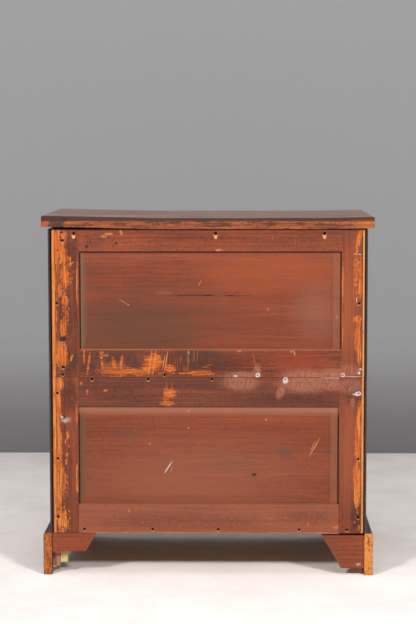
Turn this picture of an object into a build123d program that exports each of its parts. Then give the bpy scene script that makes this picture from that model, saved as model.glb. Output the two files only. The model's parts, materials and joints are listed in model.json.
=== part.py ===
from build123d import *
import math
import os

# Antique chest of drawers, two short drawers over three long ones.
# Millimetres. +Z is up, the drawers face -Y and the framed back faces +Y. The origin is on the
# floor, at the middle of the overall box. "Left" and "right" are as seen from the front,
# so the right-hand side is at +X.

# ---- Carcass: the two sides, the bottom board and what ties them together ----
carcass_width = 817.0        # across the outside of the two sides
carcass_height = 786.5       # underside of the bottom board to the underside of the top board
carcass_depth = 469.0        # front edge to rear edge of a side
side_thickness = 18.0
bottom_thickness = 18.0
rail_thickness = 22.0        # drawer dividers, runners and rear rails
top_rail_thickness = 18.0    # front rail, rear rail and kickers under the top board
front_rail_depth = 60.0
rear_rail_depth = 50.0
runner_width = 45.0
partition_thickness = 22.0   # upright between the two short drawers
batten_size = 24.0           # square upright inside each side, which takes the back's screws
housing_depth = 5.0          # how far rails and bottom board are let into the sides
housing_stop = 12.0          # the housings stop this far behind the front edge
dust_board_thickness = 8.0
dust_groove_depth = 8.0
dust_board_play = 0.5        # room for the dust boards to swell in their grooves
cut_reach = 5.0              # how far a cutting shape runs past the wood that it cuts

# ---- Top board ----
top_thickness = 28.5
top_overhang_side = 16.5
top_overhang_front = 16.5
top_overhang_back = 5.0
top_edge_radius = 4.0
nail_hole_radius = 1.6
nail_hole_depth = 12.0
nail_hole_inset = 64.5       # from the right-hand end of the top board's rear edge
nail_hole_drop = 8.0         # below the top surface

# ---- Framed back: an upper and a lower frame, each with one fielded panel ----
back_thickness = 20.0
back_lip = 5.5               # width of the side's rear edge outside its rebate
back_gap_right = 3.2         # shrinkage gap between the frames and the right-hand rebate
back_gap_left = 1.6
lower_back_height = 405.5
seam_gap = 1.0               # between the lower frame and the upper one
back_top_gap = 0.5           # between the upper frame and the top board
upper_right_stile = 71.0
upper_left_stile = 59.0
lower_right_stile = 66.0
lower_left_stile = 64.0
upper_top_rail = 56.5
upper_bottom_rail = 71.0
lower_rail = 75.5
arris_width = 5.5            # planed flat along each stile's outer edge
arris_depth = 1.5
tenon_length = 35.0
tenon_thickness = 7.0
tenon_shoulder = 10.0
panel_groove_depth = 8.0
panel_edge_thickness = 6.5
panel_play = 1.0             # room for a panel to move in its groove
panel_edge_recess = 4.5      # from the frame's face down to the panel's edge
panel_field_recess = 1.2     # from the frame's face down to the raised field
panel_bevel = 24.0

# ---- Screws through the back ----
screw_shank_radius = 2.0
screw_head_radius = 2.4
screw_head_thickness = 2.4
screw_sink_radius = 2.6      # the hole that each head is sunk in
screw_sink_depth = 8.0
screw_grip = 14.0            # how far a screw runs into the wood behind the frame
screw_clearance = 0.05
stile_screw_inset = 3.2      # from the inner face of a side to the main line of stile screws
old_screw_inset = 18.0       # the same, to a second line of early screws, at the right only
stile_screw_end = 41.0       # from the ends of the lower stiles to their first and last screws
stile_screw_middle = 194.0   # from the lower end of the lower stiles to their middle screws
old_screw_ends = (6.0, 25.0)  # early screws: these far above the seam
old_screw_drop = 28.5        # and one this far below the top of the frame
seam_screw_offset = 5.5      # seam screws stand this far above and below the seam
seam_screws_above = (111.0, -128.0)
seam_screws_below = (298.0, 153.0, -11.0, -199.0)
seam_screw_end = 62.5        # from the carcass's left face to the seam screw in the left stile
bottom_screws = (320.0, 143.0, -27.0, -236.0)
bottom_screw_end = 49.5      # from the carcass's left face to the bottom screw in the left stile
pocket_screws = (-20.5, -298.0)
pocket_screw_end = 66.0      # from the carcass's right face to the pocket in the right stile
pocket_radius = 5.3
pocket_length = 24.0         # of the gouge's path, which runs out of the frame's face
pocket_tilt = 35.0           # degrees that a pocket leans in from the frame's face
pocket_drop = 9.0            # from the top board down to the middle of a pocket's seat
pocket_depth = 5.0           # from the frame's face in to the middle of a pocket's seat
pocket_head_radius = 3.6
pocket_head_thickness = 2.0
pocket_screw_reach = 21.0    # from the pocket's seat to the screw's point

# ---- Plinth: moulded boards cut to bracket feet, and two brackets at the back ----
foot_height = 111.0          # floor to the underside of the carcass
plinth_thickness = 22.2
plinth_projection = 18.2     # beyond the carcass at the front and the sides
plinth_round = 6.5
foot_width = 62.0            # of a bracket foot at the floor
rear_foot_width = 30.0       # the same, at the rear end of a side board
foot_rise = 10.0             # height of the upright part of a foot's inner edge
foot_lean = 2.0              # rise for each millimetre inward where the curve leaves that edge
apron_height = 62.0          # floor to the lower edge between the feet
foot_sweep = 54.0            # length of the double curve from a foot to the apron
back_bracket_thickness = 18.0
back_bracket_setback = 1.0
back_bracket_slope = 0.576   # inward run of the sloping edge for each millimetre of drop
left_bracket_width = 110.0
left_bracket_height = 86.0
left_bracket_drop = 6.0      # the left bracket has dropped this far from the carcass
right_bracket_width = 116.0
right_bracket_height = 49.0  # what is left of the right bracket above its break
# the splintered corner: (in from the plinth, below the break)
break_points = ((36.0, 0.0), (21.5, 4.8), (18.0, 8.0), (0.0, 1.6))
block_size = 18.5            # square glue blocks
block_gap = 1.5
old_block_height = 92.0
new_block_height = 81.5
left_block_width = 36.0
left_block_height = 107.0
left_block_round = 14.0
rubbed_block_length = 60.0
rubbed_block_starts = (-40.0, 80.0)  # from the middle of a side board

# ---- Drawers ----
upper_step = 8.0             # the top long drawer's opening is this much higher than the short ones
lower_step = 9.0             # the bottom drawer's opening is this much higher than the middle one
drawer_side_gap = 1.5        # between a drawer and the carcass at each side
drawer_top_gap = 1.5
front_lift = 0.8             # the drawer front clears the rail below by this much
drawer_rear_gap = 12.0
front_thickness = 22.0
lining_thickness = 12.0      # drawer sides
drawer_back_thickness = 10.0
side_drop = 4.0              # a drawer side stops this far below the top of its opening
back_drop = 6.0              # the drawer back is lower again than the sides
lap_thickness = 3.0          # wood left between the cock-bead and the lapped dovetails
tail_pins = 6.0              # width of the narrow pins between the tails
tail_slope = 0.16
tail_pitch = 42.0            # greatest spacing of the tails
drawer_bottom_thickness = 7.0
drawer_bottom_lift = 8.0
drawer_groove_depth = 6.0
drawer_bottom_play = 0.5
bead_thickness = 3.0         # cock-bead around each drawer front
bead_depth = 14.0
bead_stand = 3.0             # how far the bead stands proud
bead_round = 1.4
stop_thickness = 5.0
stop_width = 40.0
stop_length = 30.0
stop_inset = 90.0            # from the side of a drawer opening to the middle of its stop

# ---- Swan-neck handles ----
handle_spacing = 76.0        # between the two pommels
handle_rise = 10.0           # the pommels stand this far above the middle of the drawer front
pivot_reach = 16.0           # from the drawer front out to the line the bail swings on
ball_radius = 5.5
finial_length = 3.0
finial_radius = 2.0
stem_radius = 3.4
rose_radius = 12.0
rose_thickness = 2.5
rose_step = 1.5
rose_shoulder_radius = 7.2   # where the domed rose turns up to its stem
rose_shoulder_height = 1.9
bolt_radius = 2.2
bolt_hole_radius = 2.6
bolt_tail = 7.0              # bolt beyond the inside of the drawer front
nut_size = 10.0
nut_thickness = 4.0
thread_clearance = 0.05
pin_radius = 1.7
pivot_clearance = 0.05
pin_reach = 2.0              # the bail's pin ends this far beyond the middle of the ball
pin_root = 1.0               # and starts this far inside the end of the bail
bail_radius = 2.4
bail_gap = 0.8               # between a ball and the shoulder of the bail
bail_neck = 6.2              # from that shoulder in to the neck
neck_drop = 13.0             # from the pivot line down to the bend of the neck
bow_drop = 23.0              # down to the widest part of the bow
bail_drop = 37.0             # down to the middle of the grip
bow_inset = 0.5              # the widest part of the bow is this far inside the pommels
grip_inset = 8.0             # the lower corners are this far inside the pommels
bail_bends = (4.5, 7.0, 6.0, 8.0)

# ---- Places worked out from the sizes above ----
handle_reach = pivot_reach + ball_radius + finial_length
overall_depth = handle_reach + carcass_depth + top_overhang_back
front_y = handle_reach - overall_depth / 2
rear_y = front_y + carcass_depth
back_inner_y = rear_y - back_thickness
batten_y = back_inner_y - batten_size
rail_rear_y = batten_y
rail_front_y = rail_rear_y - rear_rail_depth
front_rail_y = front_y + front_rail_depth
half_width = carcass_width / 2
inner_half = half_width - side_thickness
plinth_outer_x = half_width + plinth_projection
plinth_outer_y = front_y - plinth_projection
plinth_inner_x = plinth_outer_x - plinth_thickness
plinth_inner_y = plinth_outer_y + plinth_thickness
bracket_y = rear_y - back_bracket_setback
block_y = (bracket_y - back_bracket_thickness - block_size, bracket_y - back_bracket_thickness)

bottom_z = foot_height
bottom_top_z = bottom_z + bottom_thickness
top_z = bottom_z + carcass_height
top_rail_z = top_z - top_rail_thickness
lower_back_top_z = bottom_z + lower_back_height
seam_z = lower_back_top_z + seam_gap / 2
middle_rail_z = seam_z - rail_thickness / 2

lower_clear = middle_rail_z - bottom_top_z - rail_thickness
bottom_opening = (lower_clear + lower_step) / 2
middle_opening = lower_clear - bottom_opening
upper_clear = top_rail_z - (middle_rail_z + rail_thickness) - rail_thickness
top_long_opening = (upper_clear + upper_step) / 2
short_opening = upper_clear - top_long_opening
lower_rail_z = bottom_top_z + bottom_opening
upper_rail_z = middle_rail_z + rail_thickness + top_long_opening
divider_levels = (lower_rail_z, middle_rail_z, upper_rail_z)
short_floor_z = upper_rail_z + rail_thickness

long_span = (-inner_half, inner_half)
left_span = (-inner_half, -partition_thickness / 2)
right_span = (partition_thickness / 2, inner_half)
handle_x = (right_span[0] + right_span[1]) / 2
centre_runner_half = partition_thickness / 2 + runner_width - drawer_side_gap

# name: (low and high X of the opening, its floor, its height, the middle of each handle)
drawer_openings = {
    "short_left": (left_span, short_floor_z, short_opening, (-handle_x,)),
    "short_right": (right_span, short_floor_z, short_opening, (handle_x,)),
    "top_long": (long_span, middle_rail_z + rail_thickness, top_long_opening, (-handle_x, handle_x)),
    "middle_long": (long_span, lower_rail_z + rail_thickness, middle_opening, (-handle_x, handle_x)),
    "bottom_long": (long_span, bottom_top_z, bottom_opening, (-handle_x, handle_x)),
}


def slab(x, y, z):
    """A straight board. Each argument is a (low, high) pair."""
    spans = (x, y, z)
    middle = [(low + high) / 2 for low, high in spans]
    return Pos(*middle) * Box(*[high - low for low, high in spans])


def rod(x, z, y, radius):
    """A round bar along Y, centred on (x, z), over a (low, high) pair of Y."""
    low, high = y
    return Pos(x, (low + high) / 2, z) * Rot(90, 0, 0) * Cylinder(radius, high - low)


def sideways_rod(x, y, z, radius):
    """A round bar along X over a (low, high) pair of X."""
    low, high = x
    return Pos((low + high) / 2, y, z) * Rot(0, 90, 0) * Cylinder(radius, high - low)


def save(node, *pieces):
    """Writes one node as a STEP file that holds each of its pieces as a solid of its own."""
    solids = [solid for piece in pieces for solid in piece.solids()]
    shape = solids[0] if len(solids) == 1 else Compound(solids)
    export_step(shape, f"parts/{node}.step")


def both_sides(piece):
    """The piece and its mirror image in the middle plane of the chest."""
    return [piece, mirror(piece, about=Plane.YZ)]


# ---- Carcass ----
def rail_levels():
    """(low Z, high Z) of every rail that is housed in the sides, lowest first."""
    levels = [(z, z + rail_thickness) for z in divider_levels]
    return levels + [(top_rail_z, top_z)]


def rear_rail_span(level):
    """The rear rail behind the back's seam reaches the back; the others stop at the battens."""
    reach = back_inner_y if level[0] == middle_rail_z else rail_rear_y
    return (rail_front_y, reach)


def make_side():
    """The right-hand side: rebated for the back and housed for the rails and bottom board."""
    side = slab((inner_half, half_width), (front_y, rear_y), (bottom_z, top_z))
    side -= slab((inner_half, half_width - back_lip), (back_inner_y, rear_y), (bottom_z, top_z))
    housing_x = (inner_half, inner_half + housing_depth)
    side -= slab(housing_x, (front_y + housing_stop, back_inner_y), (bottom_z, bottom_top_z))
    for level in rail_levels():
        side -= slab(housing_x, (front_y + housing_stop, front_rail_y), level)
        side -= slab(housing_x, rear_rail_span(level), level)
    return side


def housed_board(y, z, stop=0.0):
    """A board between the sides whose ends are let into them, from a stop behind its front."""
    board = slab((-inner_half, inner_half), y, z)
    ends = (-inner_half - housing_depth, inner_half + housing_depth)
    return board + slab(ends, (y[0] + stop, y[1]), z)


def dust_slot(level):
    """(low Z, high Z) of the dust-board groove in a divider."""
    low = level[0] + (rail_thickness - dust_board_thickness) / 2
    return (low, low + dust_board_thickness)


def dust_bays(level):
    """The bays between the runners: two where a centre runner carries the short drawers."""
    bay = (-inner_half + runner_width, inner_half - runner_width)
    if level[0] != upper_rail_z:
        return [bay]
    return [(bay[0], -centre_runner_half), (centre_runner_half, bay[1])]


def dust_frames():
    """Front rails, rear rails, runners and dust boards, as four lists."""
    fronts, rears, runners, boards = [], [], [], []
    runner_y = (front_rail_y, rail_front_y)
    groove_y = (front_rail_y - dust_groove_depth, rail_front_y + dust_groove_depth)
    for level in rail_levels():
        front = housed_board((front_y, front_rail_y), level, housing_stop)
        rear = housed_board(rear_rail_span(level), level)
        sides = both_sides(slab((inner_half - runner_width, inner_half), runner_y, level))
        if level[1] in (short_floor_z, top_z):
            sides.append(slab((-centre_runner_half, centre_runner_half), runner_y, level))
        if level[1] != top_z:
            for bay in dust_bays(level):
                grooved = (bay[0] - dust_groove_depth, bay[1] + dust_groove_depth)
                groove = slab(grooved, groove_y, dust_slot(level))
                front -= groove
                rear -= groove
                sides = [side - groove for side in sides]
                board_x = (grooved[0] + dust_board_play, grooved[1] - dust_board_play)
                board_y = (groove_y[0] + dust_board_play, groove_y[1] - dust_board_play)
                boards.append(slab(board_x, board_y, dust_slot(level)))
        fronts.append(front)
        rears.append(rear)
        runners += sides
    return fronts, rears, runners, boards


def make_top():
    """The top board, rounded along its front and ends, with an old nail hole at the back."""
    reach = half_width + top_overhang_side
    y = (front_y - top_overhang_front, rear_y + top_overhang_back)
    board = slab((-reach, reach), y, (top_z, top_z + top_thickness))
    top_edges = board.faces().sort_by(Axis.Z)[-1].edges()
    rounded = [edge for edge in top_edges if edge.center().Y < y[1] - top_edge_radius]
    board = fillet(rounded, top_edge_radius)
    nail_z = top_z + top_thickness - nail_hole_drop
    return board - rod(reach - nail_hole_inset, nail_z, (y[1] - nail_hole_depth, y[1]), nail_hole_radius)


# ---- Framed back ----
def make_frame(z, stiles, rails):
    """One framed back between two heights: its stiles, its rails and its fielded panel.

    stiles are the (left, right) widths and rails the (bottom, top) heights.
    """
    outer_x = (-half_width + back_lip + back_gap_left, half_width - back_lip - back_gap_right)
    inner_x = (outer_x[0] + stiles[0], outer_x[1] - stiles[1])
    inner_z = (z[0] + rails[0], z[1] - rails[1])
    y = (back_inner_y, rear_y)
    groove_y = (rear_y - panel_edge_recess - panel_edge_thickness, rear_y - panel_edge_recess)
    grooved_x = (inner_x[0] - panel_groove_depth, inner_x[1] + panel_groove_depth)
    grooved_z = (inner_z[0] - panel_groove_depth, inner_z[1] + panel_groove_depth)
    groove = slab(grooved_x, groove_y, grooved_z)

    tenon_y = (back_inner_y + tenon_shoulder / 2, back_inner_y + tenon_shoulder / 2 + tenon_thickness)
    tenon_x = (inner_x[0] - tenon_length, inner_x[1] + tenon_length)
    tenon_zs = (
        (z[0] + tenon_shoulder, inner_z[0] - tenon_shoulder),
        (inner_z[1] + tenon_shoulder, z[1] - tenon_shoulder),
    )
    posts = [slab((outer_x[0], inner_x[0]), y, z), slab((inner_x[1], outer_x[1]), y, z)]
    posts = [chamfer_outer_edge(post) - groove for post in posts]
    bars = []
    for rail_z, tenon_z in zip(((z[0], inner_z[0]), (inner_z[1], z[1])), tenon_zs):
        tenon = slab(tenon_x, tenon_y, tenon_z)
        posts = [post - tenon for post in posts]
        bars.append(slab(inner_x, y, rail_z) - groove + tenon)

    panel_x = (grooved_x[0] + panel_play, grooved_x[1] - panel_play)
    panel_z = (grooved_z[0] + panel_play, grooved_z[1] - panel_play)
    panel = slab(panel_x, groove_y, panel_z) + raised_field(inner_x, inner_z, groove_y[1])
    return posts, bars, panel


def chamfer_outer_edge(post):
    """Planes the flat along the outer rear edge of a stile."""
    rear_edges = post.faces().sort_by(Axis.Y)[-1].edges().filter_by(Axis.Z)
    outer = max(rear_edges, key=lambda edge: abs(edge.center().X))
    box = post.bounding_box()
    edge_x = outer.center().X
    side = 1 if edge_x > 0 else -1
    wedge = Polyline(
        (edge_x, rear_y - arris_depth),
        (edge_x + side * cut_reach, rear_y - arris_depth),
        (edge_x + side * cut_reach, rear_y + cut_reach),
        (edge_x - side * arris_width, rear_y + cut_reach),
        (edge_x - side * arris_width, rear_y),
        close=True,
    )
    return post - extrude(Pos(0, 0, box.min.Z) * make_face(wedge), box.size.Z)


def raised_field(x, z, base_y):
    """The fielded middle of a panel: bevelled from the frame's edge up to a flat field."""
    middle_x = (x[0] + x[1]) / 2
    middle_z = (z[0] + z[1]) / 2
    width, height = x[1] - x[0], z[1] - z[0]
    base = Plane((middle_x, base_y, middle_z), x_dir=(1, 0, 0), z_dir=(0, 1, 0))
    crown = base.offset(rear_y - panel_field_recess - base_y)
    low = base * Rectangle(width, height)
    high = crown * Rectangle(width - 2 * panel_bevel, height - 2 * panel_bevel)
    return loft([low, high], ruled=True)


def back_screw_places():
    """(x, z) of every screw through the back: stiles, seam and bottom edge."""
    main_x = inner_half - stile_screw_inset
    old_x = inner_half - old_screw_inset
    upper_low = lower_back_top_z + seam_gap
    upper_high = top_z - back_top_gap
    places = []
    for side in (-1, 1):
        places.append((side * main_x, bottom_z + stile_screw_end))
        places.append((side * main_x, bottom_z + stile_screw_middle))
        places.append((side * main_x, lower_back_top_z - stile_screw_end))
        places.append((side * main_x, (upper_low + upper_high) / 2))
    places.append((old_x, upper_high - old_screw_drop))
    places += [(old_x, upper_low + end) for end in old_screw_ends]
    above_seam = seam_screws_above + (seam_screw_end - half_width,)
    places += [(x, seam_z + seam_screw_offset) for x in above_seam]
    places += [(x, seam_z - seam_screw_offset) for x in seam_screws_below]
    along_bottom = bottom_screws + (bottom_screw_end - half_width,)
    places += [(x, bottom_z + bottom_thickness / 2) for x in along_bottom]
    return places


def screw_hole(x, z):
    """The sunk hole and shank hole of one back screw, as one cutting shape."""
    sink = rod(x, z, (rear_y - screw_sink_depth, rear_y), screw_sink_radius)
    shank = rod(x, z, (back_inner_y - screw_grip, rear_y), screw_shank_radius + screw_clearance)
    return sink + shank


def back_screw(x, z):
    """A countersunk wood screw, its head at the bottom of the sunk hole."""
    seat = rear_y - screw_sink_depth
    head = rod(x, z, (seat, seat + screw_head_thickness), screw_head_radius)
    return head + rod(x, z, (back_inner_y - screw_grip, seat), screw_shank_radius)


def pocket_places():
    return (half_width - pocket_screw_end,) + pocket_screws


def pocket_plane(x):
    """The leaning axis of a gouged pocket: its origin is the middle of the pocket's seat."""
    lean = math.radians(pocket_tilt)
    seat = (x, rear_y - pocket_depth, top_z - pocket_drop)
    return Plane(seat, x_dir=(1, 0, 0), z_dir=(0, -math.sin(lean), math.cos(lean)))


def along_pocket(x, start, end, radius):
    """A round bar along a pocket's axis from start to end, measured up from its seat."""
    return pocket_plane(x).offset((start + end) / 2) * Cylinder(radius, end - start)


def pocket_cut(x):
    bowl = along_pocket(x, -pocket_length, 0, pocket_radius)
    return bowl + along_pocket(x, 0, pocket_screw_reach, screw_shank_radius + screw_clearance)


def pocket_screw(x):
    head = along_pocket(x, -pocket_head_thickness, 0, pocket_head_radius)
    return head + along_pocket(x, 0, pocket_screw_reach, screw_shank_radius)


# ---- Plinth ----
def foot_curve(start, direction, width):
    """Half of a bracket's outline, from the floor beside a foot up to the apron."""
    toe = start + direction * width
    hip = toe + direction * foot_sweep
    rise = apron_height - foot_rise
    middle = (toe + direction * foot_sweep / 2, foot_rise + rise / 2)
    upright = Line((toe, 0), (toe, foot_rise))
    lower = TangentArc((toe, foot_rise), middle, tangent=(direction, foot_lean))
    upper = TangentArc(middle, (hip, apron_height), tangent=lower % 1)
    return [upright, lower, upper]


def plinth_profile(low, high, last_foot):
    """The face of a plinth board between low and high, whose last foot has its own width."""
    start = foot_curve(low, 1, foot_width)
    end = foot_curve(high, -1, last_foot)
    first, last = start[-1] @ 1, end[-1] @ 1
    lines = start + end
    lines.append(Line((first.X, first.Y), (last.X, last.Y)))
    lines.append(Line((low + foot_width, 0), (low, 0)))
    lines.append(Line((low, 0), (low, foot_height)))
    lines.append(Line((low, foot_height), (high, foot_height)))
    lines.append(Line((high, foot_height), (high, 0)))
    lines.append(Line((high, 0), (high - last_foot, 0)))
    return make_face(Curve() + lines)


def make_plinth():
    """The front board and the two side boards, mitred at the front corners."""
    outer_x = plinth_outer_x
    outer_y = plinth_outer_y
    side_plane = Plane((outer_x, 0, 0), x_dir=(0, 1, 0), z_dir=(1, 0, 0))
    side = extrude(side_plane * plinth_profile(outer_y, rear_y, rear_foot_width), -plinth_thickness)
    front_plane = Plane((0, outer_y, 0), x_dir=(1, 0, 0), z_dir=(0, -1, 0))
    front = extrude(front_plane * plinth_profile(-outer_x, outer_x, foot_width), -plinth_thickness)

    side_edge = side.edges().filter_by(Axis.Y).group_by(Axis.Z)[-1].sort_by(Axis.X)[-1]
    front_edge = front.edges().filter_by(Axis.X).group_by(Axis.Z)[-1].sort_by(Axis.Y)[0]
    side = fillet(side_edge, plinth_round)
    front = fillet(front_edge, plinth_round)

    corner_x = (outer_x - plinth_thickness - cut_reach, outer_x + cut_reach)
    corner_y = (outer_y - cut_reach, outer_y + plinth_thickness + cut_reach)
    corner = Polyline(
        (corner_x[1], corner_y[0]),
        (corner_x[0], corner_y[0]),
        (corner_x[0], corner_y[1]),
        close=True,
    )
    front_corner = extrude(make_face(corner), foot_height)
    outer_corner = slab(corner_x, corner_y, (0, foot_height))
    side -= front_corner
    behind_mitre = outer_corner - front_corner
    front = front - behind_mitre - mirror(behind_mitre, about=Plane.YZ)
    return front, side


def make_bracket(width, height, top, lower_corner):
    """A back bracket for the right-hand foot; lower_corner has the points of its outer corner."""
    toe = plinth_inner_x - width
    low = top - height
    points = [(plinth_inner_x, top), (toe, top), (toe + back_bracket_slope * height, low)]
    points += [(plinth_inner_x - inset, low - drop) for inset, drop in lower_corner]
    face_plane = Plane((0, bracket_y, 0), x_dir=(1, 0, 0), z_dir=(0, -1, 0))
    return extrude(face_plane * make_face(Polyline(*points, close=True)), back_bracket_thickness)


def foot_blocks():
    """Old glue blocks: the corner blocks of the feet and rubbed blocks along the plinth."""
    wall = plinth_inner_x
    side_x = (wall - block_size, wall)
    front_block_y = (plinth_inner_y, plinth_inner_y + block_size)
    old = slab(side_x, block_y, (bottom_z - old_block_height, bottom_z))
    left = slab((-wall, -wall + left_block_width), block_y, (bottom_z - left_block_height, bottom_z))
    lower_edge = left.edges().filter_by(Axis.Y).group_by(Axis.Z)[0].sort_by(Axis.X)[-1]
    left = fillet(lower_edge, left_block_round)

    blocks = [old, left] + both_sides(slab(side_x, front_block_y, (foot_rise, bottom_z)))
    rubbed_z = (bottom_z - block_size, bottom_z)
    middle_y = (front_block_y[0] + block_y[1]) / 2
    for start in rubbed_block_starts:
        y = (middle_y + start, middle_y + start + rubbed_block_length)
        blocks += both_sides(slab(side_x, y, rubbed_z))
    for x in (-wall / 2, -rubbed_block_length / 2, wall / 2 - rubbed_block_length):
        blocks.append(slab((x, x + rubbed_block_length), front_block_y, rubbed_z))
    return blocks


def make_new_block():
    """The pale replacement block beside the old one behind the broken bracket."""
    high_x = plinth_inner_x - block_size - block_gap
    return slab((high_x - block_size, high_x), block_y, (bottom_z - new_block_height, bottom_z))


# ---- Drawers ----
def tails(x, root_y, tip_y, z):
    """The dovetails on a drawer side between root_y and tip_y, as prisms across its thickness."""
    height = z[1] - z[0]
    count = max(2, round(height / tail_pitch))
    tip = (height - (count + 1) * tail_pins) / count
    root = tip - 2 * tail_slope * abs(tip_y - root_y)
    plane = Plane((x[0], 0, 0), x_dir=(0, 1, 0), z_dir=(1, 0, 0))
    prisms = []
    for index in range(count):
        middle = z[0] + tail_pins + tip / 2 + index * (tip + tail_pins)
        outline = Polyline(
            (root_y, middle - root / 2),
            (tip_y, middle - tip / 2),
            (tip_y, middle + tip / 2),
            (root_y, middle + root / 2),
            close=True,
        )
        prisms.append(extrude(plane * make_face(outline), x[1] - x[0]))
    return prisms


def cut_all(piece, cutters):
    for cutter in cutters:
        piece = piece - cutter
    return piece


def join_all(piece, others):
    for other in others:
        piece = piece + other
    return piece


def cock_bead(x, z):
    """Four mitred strips let into the edges of a drawer front, with a rounded nose."""
    y = (front_y - bead_stand, front_y - bead_stand + bead_depth)
    inner_x = (x[0] + bead_thickness, x[1] - bead_thickness)
    inner_z = (z[0] + bead_thickness, z[1] - bead_thickness)
    ring = slab(x, y, z) - slab(inner_x, y, inner_z)
    ring = fillet(ring.faces().sort_by(Axis.Y)[0].edges(), bead_round)
    plane = Plane((0, y[1], 0), x_dir=(1, 0, 0), z_dir=(0, -1, 0))
    corners = [(x[0], z[0]), (x[1], z[0]), (x[1], z[1]), (x[0], z[1])]
    inners = [(inner_x[0], inner_z[0]), (inner_x[1], inner_z[0])]
    inners += [(inner_x[1], inner_z[1]), (inner_x[0], inner_z[1])]
    strips = []
    for index in range(4):
        following = (index + 1) % 4
        outline = Polyline(
            corners[index], corners[following], inners[following], inners[index], close=True
        )
        strips.append(ring & extrude(plane * make_face(outline), bead_depth))
    return strips


def make_drawer(span, floor, height, handles):
    """Front with its bead, two sides, back and bottom of one drawer."""
    x = (span[0] + drawer_side_gap, span[1] - drawer_side_gap)
    front_z = (floor + front_lift, floor + height - drawer_top_gap)
    front_back_y = front_y + front_thickness
    rear = batten_y - drawer_rear_gap
    side_z = (floor, floor + height - side_drop)
    bottom_z_span = (floor + drawer_bottom_lift, floor + drawer_bottom_lift + drawer_bottom_thickness)
    back_z = (bottom_z_span[1], side_z[1] - back_drop)
    tail_z = (front_z[0], side_z[1])

    front = slab(x, (front_y, front_back_y), front_z)
    beads = cock_bead(x, front_z)
    bead_y = (front_y - bead_stand, front_y - bead_stand + bead_depth)
    inner_x = (x[0] + bead_thickness, x[1] - bead_thickness)
    inner_z = (front_z[0] + bead_thickness, front_z[1] - bead_thickness)
    front -= slab(x, bead_y, front_z) - slab(inner_x, bead_y, inner_z)
    tail_y = (front_back_y, bead_y[1] + lap_thickness)

    back = slab(x, (rear - drawer_back_thickness, rear), back_z)
    lining_spans = ((x[0], x[0] + lining_thickness), (x[1] - lining_thickness, x[1]))
    groove_x = (lining_spans[0][1] - drawer_groove_depth, lining_spans[1][0] + drawer_groove_depth)
    groove_y = (front_back_y - drawer_groove_depth, rear)
    groove = slab(groove_x, groove_y, bottom_z_span)
    front -= groove
    sides = []
    for lining_x in lining_spans:
        side = slab(lining_x, (front_back_y, rear - drawer_back_thickness), side_z)
        side += slab(lining_x, (rear - drawer_back_thickness, rear), (side_z[0], back_z[0]))
        front_tails = tails(lining_x, *tail_y, tail_z)
        back_tails = tails(lining_x, rear - drawer_back_thickness, rear, back_z)
        front = cut_all(front, front_tails)
        back = cut_all(back, back_tails)
        side = join_all(side, front_tails + back_tails)
        sides.append(side - groove)

    play = drawer_bottom_play
    bottom_x = (groove_x[0] + play, groove_x[1] - play)
    bottom = slab(bottom_x, (groove_y[0] + play, rear), bottom_z_span)
    for place in handle_places(floor, height, handles):
        for side in (-1, 1):
            x_pommel = place[0] + side * handle_spacing / 2
            front -= rod(x_pommel, place[1], (front_y, front_back_y), bolt_hole_radius)
    return [front] + beads, sides, back, bottom


def drawer_stops():
    """Two small blocks behind each drawer front, glued to the rail that it closes over."""
    y = (front_y + front_thickness, front_y + front_thickness + stop_length)
    blocks = []
    for span, floor, _, _ in drawer_openings.values():
        for middle in (span[0] + stop_inset, span[1] - stop_inset):
            x = (middle - stop_width / 2, middle + stop_width / 2)
            blocks.append(slab(x, y, (floor, floor + stop_thickness)))
    return blocks


# ---- Handles ----
def handle_places(floor, height, handles):
    """(x, z) of the middle of the pivot line of each handle on a drawer."""
    middle = floor + (height + front_lift - drawer_top_gap) / 2
    return [(x, middle + handle_rise) for x in handles]


def pommel():
    """Rose, stem, ball, finial and bolt turned as one, about an axis that points out at +Z."""
    ball_edge = math.sqrt(ball_radius**2 - stem_radius**2)
    finial_edge = math.sqrt(ball_radius**2 - finial_radius**2)
    tip = pivot_reach + ball_radius + finial_length
    outline = [
        Line((0, -front_thickness - bolt_tail), (bolt_radius, -front_thickness - bolt_tail)),
        Line((bolt_radius, -front_thickness - bolt_tail), (bolt_radius, 0)),
        Line((bolt_radius, 0), (rose_radius, 0)),
        Line((rose_radius, 0), (rose_radius, rose_step)),
        Line((rose_radius, rose_step), (rose_radius - rose_step, rose_step)),
        ThreePointArc(
            (rose_radius - rose_step, rose_step),
            (rose_shoulder_radius, rose_step + rose_shoulder_height),
            (stem_radius, rose_step + rose_thickness),
        ),
        Line((stem_radius, rose_step + rose_thickness), (stem_radius, pivot_reach - ball_edge)),
        ThreePointArc(
            (stem_radius, pivot_reach - ball_edge),
            (ball_radius, pivot_reach),
            (finial_radius, pivot_reach + finial_edge),
        ),
        Line((finial_radius, pivot_reach + finial_edge), (finial_radius, tip - finial_radius)),
        ThreePointArc(
            (finial_radius, tip - finial_radius),
            (finial_radius * math.sin(math.pi / 4), tip - finial_radius * (1 - math.sin(math.pi / 4))),
            (0, tip),
        ),
        Line((0, tip), (0, -front_thickness - bolt_tail)),
    ]
    turned = revolve(Plane.XZ * make_face(Curve() + outline), Axis.Z)
    hole_reach = (-ball_radius - cut_reach, ball_radius + cut_reach)
    return turned - sideways_rod(hole_reach, 0, pivot_reach, pin_radius + pivot_clearance)


def nut():
    blank = Box(nut_size, nut_size, nut_thickness)
    blank -= Cylinder(bolt_radius + thread_clearance, nut_thickness)
    return Pos(0, 0, -front_thickness - nut_thickness / 2) * blank


def outward(x, z):
    """Places a turned part on a drawer front, its +Z pointing out of the front."""
    return Pos(x, front_y, z) * Rot(90, 0, 0)


def drawer_fittings(floor, height, handles):
    pieces = []
    for x, z in handle_places(floor, height, handles):
        for side in (-1, 1):
            place = outward(x + side * handle_spacing / 2, z)
            pieces += [place * pommel(), place * nut()]
    return pieces


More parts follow.
